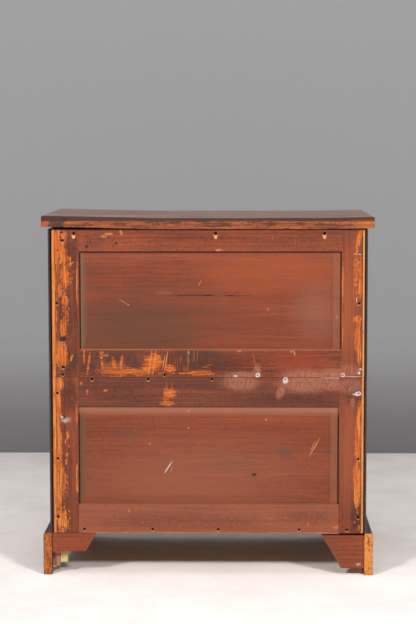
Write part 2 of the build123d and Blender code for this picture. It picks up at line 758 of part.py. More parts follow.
def make_bail():
    """One swan-neck bail about the middle of its pivot line, hanging straight down."""
    half = handle_spacing / 2
    shoulder = half - ball_radius - bail_gap
    neck = shoulder - bail_neck
    right = [
        (shoulder, 0),
        (neck, 0),
        (neck, -neck_drop),
        (half - bow_inset, -bow_drop),
        (half - grip_inset, -bail_drop),
    ]
    left = [(-x, z) for x, z in reversed(right)]
    radii = list(bail_bends) + list(reversed(bail_bends))
    flat = FilletPolyline(*[(x, z) for x, z in right + left], radius=radii)
    path = Plane.XZ * flat
    section = Plane(path @ 0, z_dir=path % 0) * Circle(bail_radius)
    bail = sweep(section, path=path)
    for side in (-1, 1):
        pin_x = sorted((side * (shoulder - pin_root), side * (half + pin_reach)))
        bail += sideways_rod(pin_x, 0, 0, pin_radius)
    return bail


def build():
    os.makedirs("parts", exist_ok=True)

    # Back frames, with the holes of every screw that passes through them.
    upper_z = (lower_back_top_z + seam_gap, top_z - back_top_gap)
    lower_z = (bottom_z, lower_back_top_z)
    upper = make_frame(upper_z, (upper_left_stile, upper_right_stile), (upper_bottom_rail, upper_top_rail))
    lower = make_frame(lower_z, (lower_left_stile, lower_right_stile), (lower_rail, lower_rail))
    holes = [screw_hole(x, z) for x, z in back_screw_places()]
    pockets = [pocket_cut(x) for x in pocket_places()]
    upper_stiles = [cut_all(post, holes + pockets) for post in upper[0]]
    upper_rails = [cut_all(bar, holes + pockets) for bar in upper[1]]
    lower_stiles = [cut_all(post, holes) for post in lower[0]]
    lower_rails = [cut_all(bar, holes) for bar in lower[1]]
    save("upper_back_stiles", *upper_stiles)
    save("upper_back_bottom_rail", upper_rails[0])
    save("upper_back_top_rail", upper_rails[1])
    save("upper_back_panel", upper[2])
    save("lower_back_stiles", *lower_stiles)
    save("lower_back_rails", *lower_rails)
    save("lower_back_panel", lower[2])
    save("back_screws", *[back_screw(x, z) for x, z in back_screw_places()])
    save("pocket_screws", *[pocket_screw(x) for x in pocket_places()])

    # Carcass.
    right_side = make_side()
    save("right_side", right_side)
    save("left_side", mirror(right_side, about=Plane.YZ))
    bottom = housed_board((front_y, back_inner_y), (bottom_z, bottom_top_z), housing_stop)
    save("bottom_board", cut_all(bottom, holes))
    save("top_board", cut_all(make_top(), pockets))
    fronts, rears, runners, boards = dust_frames()
    save("front_rails", *fronts)
    save("rear_rails", *[cut_all(rear, holes) for rear in rears])
    save("drawer_runners", *runners)
    save("dust_boards", *boards)
    half = partition_thickness / 2
    save("short_drawer_partition", slab((-half, half), (front_y, rail_rear_y), (short_floor_z, top_rail_z)))
    batten_x = (inner_half - batten_size, inner_half)
    battens = []
    for z in ((bottom_top_z, middle_rail_z), (middle_rail_z + rail_thickness, top_z)):
        battens += both_sides(slab(batten_x, (batten_y, back_inner_y), z))
    save("back_battens", *[cut_all(batten, holes) for batten in battens])
    save("drawer_stops", *drawer_stops())

    # Plinth and feet.
    plinth_front, plinth_right = make_plinth()
    save("plinth_front", plinth_front)
    save("plinth_right", plinth_right)
    save("plinth_left", mirror(plinth_right, about=Plane.YZ))
    broken = make_bracket(right_bracket_width, right_bracket_height, bottom_z, break_points)
    save("rear_right_bracket", broken)
    left_top = bottom_z - left_bracket_drop
    whole = make_bracket(left_bracket_width, left_bracket_height, left_top, [(0, 0)])
    save("rear_left_bracket", mirror(whole, about=Plane.YZ))
    save("foot_glue_blocks", *foot_blocks())
    save("new_glue_block", make_new_block())

    # Drawers and their handles.
    bail = make_bail()
    for name, (span, floor, height, handles) in drawer_openings.items():
        front, sides, back, drawer_bottom = make_drawer(span, floor, height, handles)
        save(f"{name}_drawer_front", *front)
        save(f"{name}_drawer_sides", *sides)
        save(f"{name}_drawer_back", back)
        save(f"{name}_drawer_bottom", drawer_bottom)
        save(f"{name}_handle_pommels", *drawer_fittings(floor, height, handles))
        for x, z in handle_places(floor, height, handles):
            side_name = "" if len(handles) == 1 else ("_left" if x < 0 else "_right")
            save(f"{name}{side_name}_bail", Pos(x, front_y - pivot_reach, z) * bail)


build()
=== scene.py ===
import bmesh
import bpy
import json
import math
from mathutils import Matrix, Quaternion, Vector

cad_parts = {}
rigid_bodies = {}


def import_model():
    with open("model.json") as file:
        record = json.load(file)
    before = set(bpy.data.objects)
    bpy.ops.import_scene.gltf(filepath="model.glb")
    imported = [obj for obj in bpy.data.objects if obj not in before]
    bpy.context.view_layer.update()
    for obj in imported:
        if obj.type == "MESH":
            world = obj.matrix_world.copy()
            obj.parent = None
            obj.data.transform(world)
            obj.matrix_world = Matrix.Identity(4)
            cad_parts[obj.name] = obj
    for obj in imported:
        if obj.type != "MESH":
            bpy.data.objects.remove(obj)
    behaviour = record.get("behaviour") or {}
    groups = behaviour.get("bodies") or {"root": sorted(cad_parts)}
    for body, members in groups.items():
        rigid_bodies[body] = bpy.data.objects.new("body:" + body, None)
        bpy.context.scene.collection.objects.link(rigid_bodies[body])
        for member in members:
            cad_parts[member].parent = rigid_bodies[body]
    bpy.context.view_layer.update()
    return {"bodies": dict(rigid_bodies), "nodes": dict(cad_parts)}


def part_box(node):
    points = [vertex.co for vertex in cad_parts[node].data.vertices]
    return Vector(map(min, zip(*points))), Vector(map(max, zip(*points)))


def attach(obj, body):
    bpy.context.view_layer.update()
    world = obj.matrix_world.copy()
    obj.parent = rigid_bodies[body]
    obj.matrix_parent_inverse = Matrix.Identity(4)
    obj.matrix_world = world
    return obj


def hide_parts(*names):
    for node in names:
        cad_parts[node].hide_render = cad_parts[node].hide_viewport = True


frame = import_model()
nodes = frame["nodes"]
mm = 1000.0  # millimetres in a metre

# ---- Studio: a plain pale floor, a grey backdrop that can only be seen from its front, and
# a camera at standing height behind the chest, since its framed back is the side on show.
back_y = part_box("right_side")[1].y
camera_lens = 105.2
camera_place = (-0.0896, back_y + 4.6464, 1.1189)
camera_yaw = -1.095
camera_pitch = 5.331
camera_roll = 0.0685
floor_size = 16.0
backdrop_y = back_y - 1.864
backdrop_size = (16.0, 7.0)
floor_dark = (0.855, 0.79, 0.76, 1.0)
floor_pale = (0.975, 0.9, 0.858, 1.0)
# The backdrop's grey is painted darker near the floor and lighter higher up: painted shading of how the
# softboxes light it.
wall_low_shaded = (0.165, 0.162, 0.163, 1.0)
wall_high_lit = (0.24, 0.24, 0.247, 1.0)
wall_turn = 0.45  # where up the backdrop it reaches its upper grey
air_strength = 0.21
softbox_gain = 1.8  # how much brighter the softboxes show an upright board than it is

camera_data = bpy.data.cameras.new("studio_camera")
camera_data.sensor_width = 36.0
camera_data.lens = camera_lens
camera = bpy.data.objects.new("studio_camera", camera_data)
bpy.context.scene.collection.objects.link(camera)
yaw, pitch = math.radians(camera_yaw), math.radians(camera_pitch)
aim = Vector((-math.sin(yaw) * math.cos(pitch), -math.cos(yaw) * math.cos(pitch), -math.sin(pitch)))
camera.location = camera_place
camera.rotation_mode = "QUATERNION"
roll = Quaternion((0.0, 0.0, 1.0), -math.radians(camera_roll))
camera.rotation_quaternion = aim.to_track_quat("-Z", "Y") @ roll
bpy.context.scene.camera = camera
bpy.context.scene.view_settings.view_transform = "Standard"


def add_mesh(name, builder):
    """Makes an object at the origin from a bmesh that builder fills in."""
    mesh = bpy.data.meshes.new(name)
    work = bmesh.new()
    builder(work)
    work.to_mesh(mesh)
    work.free()
    piece = bpy.data.objects.new(name, mesh)
    bpy.context.scene.collection.objects.link(piece)
    return piece


def display(red, green, blue):
    """A colour as it looks under the softboxes, 0 to 255, turned into what a shader needs."""
    channels = [channel / 255 for channel in (red, green, blue)]
    linear = [c / 12.92 if c <= 0.04045 else ((c + 0.055) / 1.055) ** 2.4 for c in channels]
    return (*[c / softbox_gain for c in linear], 1.0)


def lay_floor(work):
    bmesh.ops.create_grid(work, x_segments=1, y_segments=1, size=floor_size / 2)


def hang_backdrop(work):
    bmesh.ops.create_grid(work, x_segments=1, y_segments=1, size=0.5)
    bmesh.ops.scale(work, vec=(backdrop_size[0], backdrop_size[1], 1.0), verts=work.verts)
    bmesh.ops.rotate(work, matrix=Matrix.Rotation(-math.pi / 2, 3, "X"), verts=work.verts)
    bmesh.ops.translate(work, vec=(0.0, backdrop_y, backdrop_size[1] / 2), verts=work.verts)


floor = add_mesh("studio_floor", lay_floor)
backdrop = add_mesh("studio_backdrop", hang_backdrop)

floor_paint = bpy.data.materials.new("floor_paint")
floor_paint.use_nodes = True
floor_shader = floor_paint.node_tree.nodes["Principled BSDF"]
floor_noise = floor_paint.node_tree.nodes.new("ShaderNodeTexNoise")
floor_noise.inputs["Scale"].default_value = 2.6
floor_noise.inputs["Detail"].default_value = 8.0
floor_noise.inputs["Roughness"].default_value = 0.72
floor_tone = floor_paint.node_tree.nodes.new("ShaderNodeValToRGB")
floor_tone.color_ramp.elements[0].position = 0.36
floor_tone.color_ramp.elements[0].color = floor_dark
floor_tone.color_ramp.elements[1].position = 0.56
floor_tone.color_ramp.elements[1].color = floor_pale
floor_place = floor_paint.node_tree.nodes.new("ShaderNodeTexCoord")
floor_paint.node_tree.links.new(floor_place.outputs["Object"], floor_noise.inputs["Vector"])
floor_paint.node_tree.links.new(floor_noise.outputs["Fac"], floor_tone.inputs[0])
floor_paint.node_tree.links.new(floor_tone.outputs[0], floor_shader.inputs["Base Color"])
floor_shader.inputs["Roughness"].default_value = 0.6
floor.data.materials.append(floor_paint)

backdrop_paint = bpy.data.materials.new("backdrop_paint")
backdrop_paint.use_nodes = True
tree = backdrop_paint.node_tree
backdrop_shader = tree.nodes["Principled BSDF"]
backdrop_shader.inputs["Roughness"].default_value = 0.9
height = tree.nodes.new("ShaderNodeTexCoord")
upward = tree.nodes.new("ShaderNodeSeparateXYZ")
# Painted shading: the backdrop's colour runs up from its shaded foot to its lit upper grey.
shade = tree.nodes.new("ShaderNodeValToRGB")
shade.color_ramp.elements[0].color = wall_low_shaded
shade.color_ramp.elements[1].color = wall_high_lit
shade.color_ramp.elements[1].position = wall_turn
tree.links.new(height.outputs["Object"], upward.inputs[0])
tree.links.new(upward.outputs["Z"], shade.inputs[0])
tree.links.new(shade.outputs[0], backdrop_shader.inputs["Base Color"])
facing = tree.nodes.new("ShaderNodeNewGeometry")
clear = tree.nodes.new("ShaderNodeBsdfTransparent")
one_sided = tree.nodes.new("ShaderNodeMixShader")
tree.links.new(facing.outputs["Backfacing"], one_sided.inputs[0])
tree.links.new(backdrop_shader.outputs[0], one_sided.inputs[1])
tree.links.new(clear.outputs[0], one_sided.inputs[2])
tree.links.new(one_sided.outputs[0], tree.nodes["Material Output"].inputs["Surface"])
backdrop.data.materials.append(backdrop_paint)

world = bpy.data.worlds.new("studio_air")
world.use_nodes = True
world.node_tree.nodes["Background"].inputs["Color"].default_value = display(236, 238, 240)
world.node_tree.nodes["Background"].inputs["Strength"].default_value = air_strength
bpy.context.scene.world = world


def add_softbox(name, place, target, size, power):
    """A square soft light at place that looks at target."""
    data = bpy.data.lights.new(name, "AREA")
    data.size = size
    data.energy = power
    light = bpy.data.objects.new(name, data)
    light.location = place
    aim_at = Vector(target) - Vector(place)
    light.rotation_euler = aim_at.to_track_quat("-Z", "Y").to_euler()
    light.visible_camera = False
    bpy.context.scene.collection.objects.link(light)


add_softbox("softbox_right", (2.5, back_y + 4.0, 3.2), (0.0, back_y, 0.5), 0.7, 208.0)
add_softbox("softbox_left", (-2.5, back_y + 4.0, 3.2), (0.0, back_y, 0.5), 0.7, 208.0)
add_softbox("softbox_high", (0.2, back_y + 3.2, 3.9), (0.0, back_y, 0.4), 1.2, 30.0)
add_softbox("softbox_over", (0.0, back_y + 0.7, 4.0), (0.0, back_y - 0.1, 0.0), 1.8, 34.0)
add_softbox("softbox_front_left", (-1.9, backdrop_y + 0.1, 1.2), (0.0, -0.2, 0.6), 0.9, 6.5)
add_softbox("softbox_front_right", (1.9, backdrop_y + 0.1, 1.2), (0.0, -0.2, 0.6), 0.9, 5.0)


# ---- Carcass boards: the pine that is out of sight, rails, runners, dust boards, battens
# and the bottom board. Sawn and planed softwood, dry and never polished, darkened by age.
# Recipe mixes every finish of the chest, with its lengths in millimetres.
class Sum:
    """One number in a finish's recipe. It can be added to, scaled, compared and shaped."""

    def __init__(self, recipe, socket):
        self.recipe = recipe
        self.socket = socket

    def math(self, operation, *others):
        node = self.recipe.tree.nodes.new("ShaderNodeMath")
        node.operation = operation
        for entry, value in zip(node.inputs, (self,) + others):
            self.recipe.plug(value, entry)
        return Sum(self.recipe, node.outputs[0])

    def __add__(self, other):
        return self.math("ADD", other)

    def __sub__(self, other):
        return self.math("SUBTRACT", other)

    def __mul__(self, other):
        return self.math("MULTIPLY", other)

    def min(self, other):
        return self.math("MINIMUM", other)

    def max(self, other):
        return self.math("MAXIMUM", other)

    def step(self, low, high):
        """Rises smoothly from 0 at low to 1 at high, or falls if high is below low."""
        node = self.recipe.tree.nodes.new("ShaderNodeMapRange")
        node.interpolation_type = "SMOOTHSTEP"
        self.recipe.plug(self, node.inputs["Value"])
        lower, upper = min(low, high), max(low, high)
        node.inputs["From Min"].default_value = lower
        node.inputs["From Max"].default_value = upper
        node.inputs["To Min"].default_value = 0.0 if low < high else 1.0
        node.inputs["To Max"].default_value = 1.0 if low < high else 0.0
        return Sum(self.recipe, node.outputs["Result"])

    def band(self, low, high, soft):
        """1 between low and high, fading to 0 over soft on each side."""
        return self.step(low - soft, low + soft) * self.step(high + soft, high - soft)


class Recipe:
    """The recipe of one finish, in object coordinates. Lengths are in millimetres."""

    def __init__(self, name):
        self.material = bpy.data.materials.new(name)
        self.material.use_nodes = True
        self.tree = self.material.node_tree
        self.shader = self.tree.nodes["Principled BSDF"]
        self.place = self.tree.nodes.new("ShaderNodeTexCoord").outputs["Object"]
        split = self.tree.nodes.new("ShaderNodeSeparateXYZ")
        self.tree.links.new(self.place, split.inputs[0])
        self.x, self.y, self.z = [Sum(self, out).math("MULTIPLY", mm) for out in split.outputs]

    def plug(self, value, entry):
        if isinstance(value, Sum):
            self.tree.links.new(value.socket, entry)
        elif isinstance(value, bpy.types.NodeSocket):
            self.tree.links.new(value, entry)
        else:
            entry.default_value = value

    def cloud(self, size, detail=3.0, rough=0.5, seed=0.0, warp=0.0):
        """Noise from 0 to 1 whose blotches are about size (x, y, z) millimetres across."""
        mapping = self.tree.nodes.new("ShaderNodeMapping")
        mapping.inputs["Scale"].default_value = [mm / length for length in size]
        mapping.inputs["Location"].default_value = (seed * 3.7, seed * 5.3, seed * 7.9)
        noise = self.tree.nodes.new("ShaderNodeTexNoise")
        noise.inputs["Scale"].default_value = 1.0
        noise.inputs["Detail"].default_value = detail
        noise.inputs["Roughness"].default_value = rough
        noise.inputs["Distortion"].default_value = warp
        self.tree.links.new(self.place, mapping.inputs["Vector"])
        self.tree.links.new(mapping.outputs[0], noise.inputs["Vector"])
        return Sum(self, noise.outputs["Fac"])

    def ovals(self, places):
        """How far a point is from the nearest oval: 0 at its middle, 1 at its rim.

        Each oval is (x, z, half width, half height, lean in degrees).
        """
        nearest = None
        through_board = 1000.0
        for x, z, half_width, half_height, lean in places:
            mapping = self.tree.nodes.new("ShaderNodeMapping")
            mapping.vector_type = "TEXTURE"
            mapping.inputs["Location"].default_value = (x / mm, 0.0, z / mm)
            mapping.inputs["Rotation"].default_value = (0.0, math.radians(lean), 0.0)
            mapping.inputs["Scale"].default_value = (half_width / mm, through_board, half_height / mm)
            length = self.tree.nodes.new("ShaderNodeVectorMath")
            length.operation = "LENGTH"
            self.tree.links.new(self.place, mapping.inputs["Vector"])
            self.tree.links.new(mapping.outputs[0], length.inputs[0])
            here = Sum(self, length.outputs["Value"])
            nearest = here if nearest is None else nearest.min(here)
        return nearest

    def ramp(self, value, stops):
        """A colour that runs through stops, (place, colour) pairs, as value goes from 0 to 1."""
        node = self.tree.nodes.new("ShaderNodeValToRGB")
        elements = node.color_ramp.elements
        while len(elements) < len(stops):
            elements.new(0.5)
        for element, (place, colour) in zip(elements, stops):
            element.position = place
            element.color = colour
        self.plug(value, node.inputs[0])
        return node.outputs["Color"]

    def over(self, below, above, mask):
        """One colour laid over another where mask is 1."""
        node = self.tree.nodes.new("ShaderNodeMix")
        node.data_type = "RGBA"
        self.plug(mask, node.inputs[0])
        self.plug(below, node.inputs[6])
        self.plug(above, node.inputs[7])
        return node.outputs[2]

    def finish(self, colour, roughness, relief=None, depth=0.1, gloss=0.5):
        """Sends the sums to the shader. relief is a height from 0 to 1, depth its millimetres."""
        self.plug(colour, self.shader.inputs["Base Color"])
        self.plug(roughness, self.shader.inputs["Roughness"])
        self.shader.inputs["Specular IOR Level"].default_value = gloss
        if relief is not None:
            bump = self.tree.nodes.new("ShaderNodeBump")
            bump.inputs["Distance"].default_value = depth / mm
            bump.inputs["Strength"].default_value = 1.0
            self.plug(relief, bump.inputs["Height"])
            self.tree.links.new(bump.outputs[0], self.shader.inputs["Normal"])
        return self.material


def grain_size(along, length, width):
    """The size of a streak that runs along one axis, as (x, y, z)."""
    return tuple(length if axis == along else width for axis in "xyz")


def dress(material, *names):
    """Gives CAD nodes their finish."""
    for name in names:
        piece = nodes[name]
        piece.data.materials.clear()
        piece.data.materials.append(material)


def pine_boards(name, along, dark, light, seed):
    """Old pine: soft streaks between dark and light, with faint growth rings."""
    recipe = Recipe(name)
    streaks = recipe.cloud(grain_size(along, 420.0, 9.0), detail=5.0, rough=0.6, seed=seed)
    fibres = recipe.cloud(grain_size(along, 40.0, 1.1), detail=2.0, seed=seed + 1)
    stains = recipe.cloud((180.0, 180.0, 180.0), detail=3.0, seed=seed + 2)
    tone = streaks * 0.7 + fibres * 0.3
    colour = recipe.ramp(tone, [(0.36, dark), (0.62, light)])
    colour = recipe.over(colour, display(96, 66, 44), stains.step(0.5, 0.75) * 0.45)
    return recipe.finish(colour, fibres * 0.2 + 0.68, relief=fibres, depth=0.15, gloss=0.25)


carcass_pine = pine_boards("carcass_pine", "x", display(150, 104, 66), display(196, 148, 98), 1.0)
dress(carcass_pine, "rear_rails", "dust_boards")
runner_pine = pine_boards("runner_pine", "y", display(142, 100, 62), display(188, 142, 94), 4.0)
dress(runner_pine, "drawer_runners", "drawer_stops")
batten_pine = pine_boards("batten_pine", "z", display(138, 94, 58), display(184, 134, 88), 7.0)
dress(batten_pine, "back_battens")


# ---- Mahogany carcass: sides, drawer rails and the partition, in dark old mahogany under
# a worn shellac polish. The rear edges of the sides are bare of polish and dark, and beside the framed
# back they carry a near-black painted shadow of the gap.
def old_mahogany(name, along, seed, dark=(74, 32, 22), middle=(118, 54, 34), light=(158, 78, 48)):
    """Polished mahogany: ribbon streaks, short dark pores and a thin uneven polish."""
    recipe = Recipe(name)
    ribbons = recipe.cloud(grain_size(along, 520.0, 16.0), detail=4.0, rough=0.55, seed=seed, warp=0.3)
    streaks = recipe.cloud(grain_size(along, 160.0, 3.2), detail=3.0, seed=seed + 1)
    pores = recipe.cloud(grain_size(along, 14.0, 0.55), detail=1.0, seed=seed + 2)
    wear = recipe.cloud((140.0, 140.0, 140.0), detail=5.0, rough=0.6, seed=seed + 3)
    tone = ribbons * 0.62 + streaks * 0.38
    colour = recipe.ramp(
        tone, [(0.34, display(*dark)), (0.5, display(*middle)), (0.66, display(*light))]
    )
    colour = recipe.over(colour, display(34, 16, 12), pores.step(0.58, 0.72) * 0.55)
    colour = recipe.over(colour, display(58, 30, 24), wear.step(0.55, 0.8) * 0.4)
    roughness = wear * 0.3 + 0.17
    relief = streaks * 0.5 + pores.step(0.7, 0.55) * 0.5
    return recipe, colour, roughness, relief


recipe, colour, roughness, relief = old_mahogany("side_mahogany", "z", 11.0)
rear_face_y = back_y * mm
rear_edge = recipe.y.step(rear_face_y - 3.0, rear_face_y - 0.5)
edge_tone = recipe.cloud((3.0, 3.0, 90.0), detail=4.0, seed=15.0)
edge_colour = recipe.ramp(
    edge_tone, [(0.3, display(40, 25, 26)), (0.55, display(80, 48, 44)), (0.75, display(122, 78, 66))]
)
side_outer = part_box("right_side")[1].x * mm
# Inside the outer lip the rear edge is painted near black: painted shadow of the gap between the side
# and the framed back.
lip = recipe.x.math("ABSOLUTE").step(side_outer - 3.4, side_outer - 2.0)
edge_colour = recipe.over(display(26, 15, 12), edge_colour, lip)
colour = recipe.over(colour, edge_colour, rear_edge)
side_mahogany = recipe.finish(colour, roughness, relief=relief, depth=0.08)
dress(side_mahogany, "left_side", "right_side")

recipe, colour, roughness, relief = old_mahogany("rail_mahogany", "x", 21.0)
rail_mahogany = recipe.finish(colour, roughness, relief=relief, depth=0.08)
dress(rail_mahogany, "front_rails")
recipe, colour, roughness, relief = old_mahogany("partition_mahogany", "z", 24.0)
dress(recipe.finish(colour, roughness, relief=relief, depth=0.08), "short_drawer_partition")
recipe, colour, roughness, relief = old_mahogany("bottom_board_facing", "x", 27.0)
board_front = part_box("bottom_board")[0].y * mm
bare_board = recipe.y.step(board_front + 3.0, board_front + 4.0)
bare_tone = recipe.cloud(grain_size("x", 420.0, 9.0), detail=5.0, rough=0.6, seed=29.0)
bare_colour = recipe.ramp(bare_tone, [(0.36, display(150, 104, 66)), (0.62, display(196, 148, 98))])
colour = recipe.over(colour, bare_colour, bare_board)
dress(recipe.finish(colour, roughness + bare_board * 0.4, relief=relief, depth=0.08), "bottom_board")


# ---- Top board: one wide mahogany board with an aged polish, whose pale haze is partly bloom in the polish and partly a painted reflection of the studio. Its rear edge
# was never polished: bare orange-brown wood, with a dark rim along the upper arris that is partly
# polish creeping over it and partly painted shade of the rounded arris.
top_low, top_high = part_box("top_board")
top_upper, top_lower = top_high.z * mm, top_low.z * mm
recipe, colour, roughness, relief = old_mahogany(
    "top_mahogany", "x", 31.0, dark=(104, 58, 44), middle=(134, 76, 56), light=(156, 96, 70)
)
# Pale haze over the top: partly bloom in the old polish, partly a painted reflection of the studio in
# the polished top.
haze = recipe.cloud((260.0, 40.0, 60.0), detail=4.0, seed=35.0)
colour = recipe.over(colour, display(202, 174, 160), haze.step(0.26, 0.66) * 0.66)
creep = recipe.cloud((30.0, 8.0, 4.0), detail=5.0, rough=0.7, seed=36.0)
edge_grain = recipe.cloud((90.0, 4.0, 2.4), detail=6.0, rough=0.72, seed=37.0)
bare = recipe.ramp(
    edge_grain,
    [(0.3, display(84, 42, 26)), (0.44, display(142, 70, 38)), (0.55, display(180, 92, 46)),
     (0.7, display(222, 122, 56))],
)
dirt = recipe.cloud((40.0, 10.0, 12.0), detail=6.0, rough=0.7, seed=38.0)
bare = recipe.over(bare, display(62, 38, 30), dirt.step(0.5, 0.63) * 0.75)
bright_end = (recipe.x + dirt * 70.0).step(-300.0, -350.0)
bare = recipe.over(bare, display(228, 126, 52), bright_end * edge_grain.step(0.36, 0.6) * 0.85)
stained_end = (recipe.x + dirt * 40.0).band(388.0, 424.0, 8.0)
bare = recipe.over(bare, display(74, 52, 44), stained_end * 0.85)
red_end = recipe.x.step(404.0, 414.0)
bare = recipe.over(bare, display(214, 88, 40), red_end * creep.step(0.35, 0.55))
cracks = (recipe.x + edge_grain * 6.0 + recipe.z * 0.12).band(-213.2, -212.2, 0.5)
cracks = cracks.max((recipe.x + edge_grain * 6.0).band(-373.0, -372.2, 0.5))
bare = recipe.over(bare, display(44, 24, 16), cracks * 0.8)
pits = recipe.cloud((5.0, 5.0, 3.0), detail=5.0, rough=0.75, seed=39.0)
bare = recipe.over(bare, display(58, 32, 24), pits.step(0.535, 0.62) * 0.75)
# Dark rim along the upper arris of the rear edge: partly polish creeping over it, partly painted shade
# of the rounded arris.
polish_and_shade_rim = (recipe.z + creep * 5.0).step(top_upper - 7.0, top_upper - 4.0)
bare = recipe.over(bare, display(66, 34, 30), polish_and_shade_rim * 0.92)
rear_face = recipe.y.step(top_high.y * mm - 1.6, top_high.y * mm - 0.5)
colour = recipe.over(colour, bare, rear_face)
top_mahogany = recipe.finish(
    colour, roughness * 0.6 + rear_face * 0.3 + 0.26, relief=relief, depth=0.08, gloss=0.34
)

top_cuts = 36
top_ease = 0.0012
right_rise, right_start, right_curve = 0.006, 0.148, 0.8
left_rise, left_start, left_curve = 0.0026, -0.3, 1.1
weld_distance = 1e-6
on_face = 1e-5
flat_angle = 0.01


def bend_top(work):
    """The top board with eased arrises, whose two ends have warped up off the carcass."""
    work.from_mesh(nodes["top_board"].data)
    bmesh.ops.remove_doubles(work, verts=work.verts, dist=weld_distance)
    bmesh.ops.dissolve_limit(work, angle_limit=flat_angle, verts=work.verts, edges=work.edges)

    def rim(vertex):
        spans = zip(vertex.co, top_low, top_high)
        return sum(min(abs(at - low), abs(at - high)) < on_face for at, low, high in spans) >= 2

    arrises = [edge for edge in work.edges if rim(edge.verts[0]) and rim(edge.verts[1])]
    bmesh.ops.bevel(
        work, geom=arrises, offset=top_ease, affect="EDGES", segments=2, profile=0.5, material=-1
    )
    for cut in range(1, top_cuts):
        place = top_low.x + (top_high.x - top_low.x) * cut / top_cuts
        everything = work.verts[:] + work.edges[:] + work.faces[:]
        bmesh.ops.bisect_plane(
            work, geom=everything, plane_co=(place, 0.0, 0.0), plane_no=(1.0, 0.0, 0.0)
        )
    for vertex in work.verts:
        right = max(0.0, (vertex.co.x - right_start) / (top_high.x - right_start))
        left = max(0.0, (vertex.co.x - left_start) / (top_low.x - left_start))
        vertex.co.z += right_rise * right**right_curve + left_rise * left**left_curve


warped_top = add_mesh("warped_top_board", bend_top)
warped_top.data.materials.append(top_mahogany)
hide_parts("top_board")
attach(warped_top, "carcass")


# ---- Framed back: two frames of stained softwood, each around one raised and fielded panel.
# The thin red-brown stain has worn through to bright orange wood along the outer stiles.
def loose_places(node):
    """(x, z) of the middle of every separate piece in a node, in millimetres."""
    work = bmesh.new()
    work.from_mesh(nodes[node].data)
    bmesh.ops.remove_doubles(work, verts=work.verts, dist=on_face)
    waiting = set(work.verts)
    places = []
    while waiting:
        piece, edge_of_piece = set(), [waiting.pop()]
        while edge_of_piece:
            vertex = edge_of_piece.pop()
            piece.add(vertex)
            near = {edge.other_vert(vertex) for edge in vertex.link_edges} & waiting
            waiting -= near
            edge_of_piece += near
        spans = [[vertex.co[axis] for vertex in piece] for axis in (0, 2)]
        places.append(tuple((min(span) + max(span)) / 2 * mm for span in spans))
    work.free()
    return places


screw_places = sorted(loose_places("back_screws"))
plaster_spots = [(-128.0, 522.5), (-346.0, 522.5), (-199.0, 511.5), (-387.3, 475.5)]
pocket_drop = 16.0
pocket_places = [(x, top_lower - pocket_drop) for x, z in sorted(loose_places("pocket_screws"))]
hole_rim_width = 3.8
hole_rim_drop = 2.4
hole_radius = 3.6
filler_radius = 5.4
filler_reach = 4.0
pocket_half_size = (8.0, 14.0)
pocket_bore_rise = 4.5
pocket_bore_half_size = (3.8, 4.4)


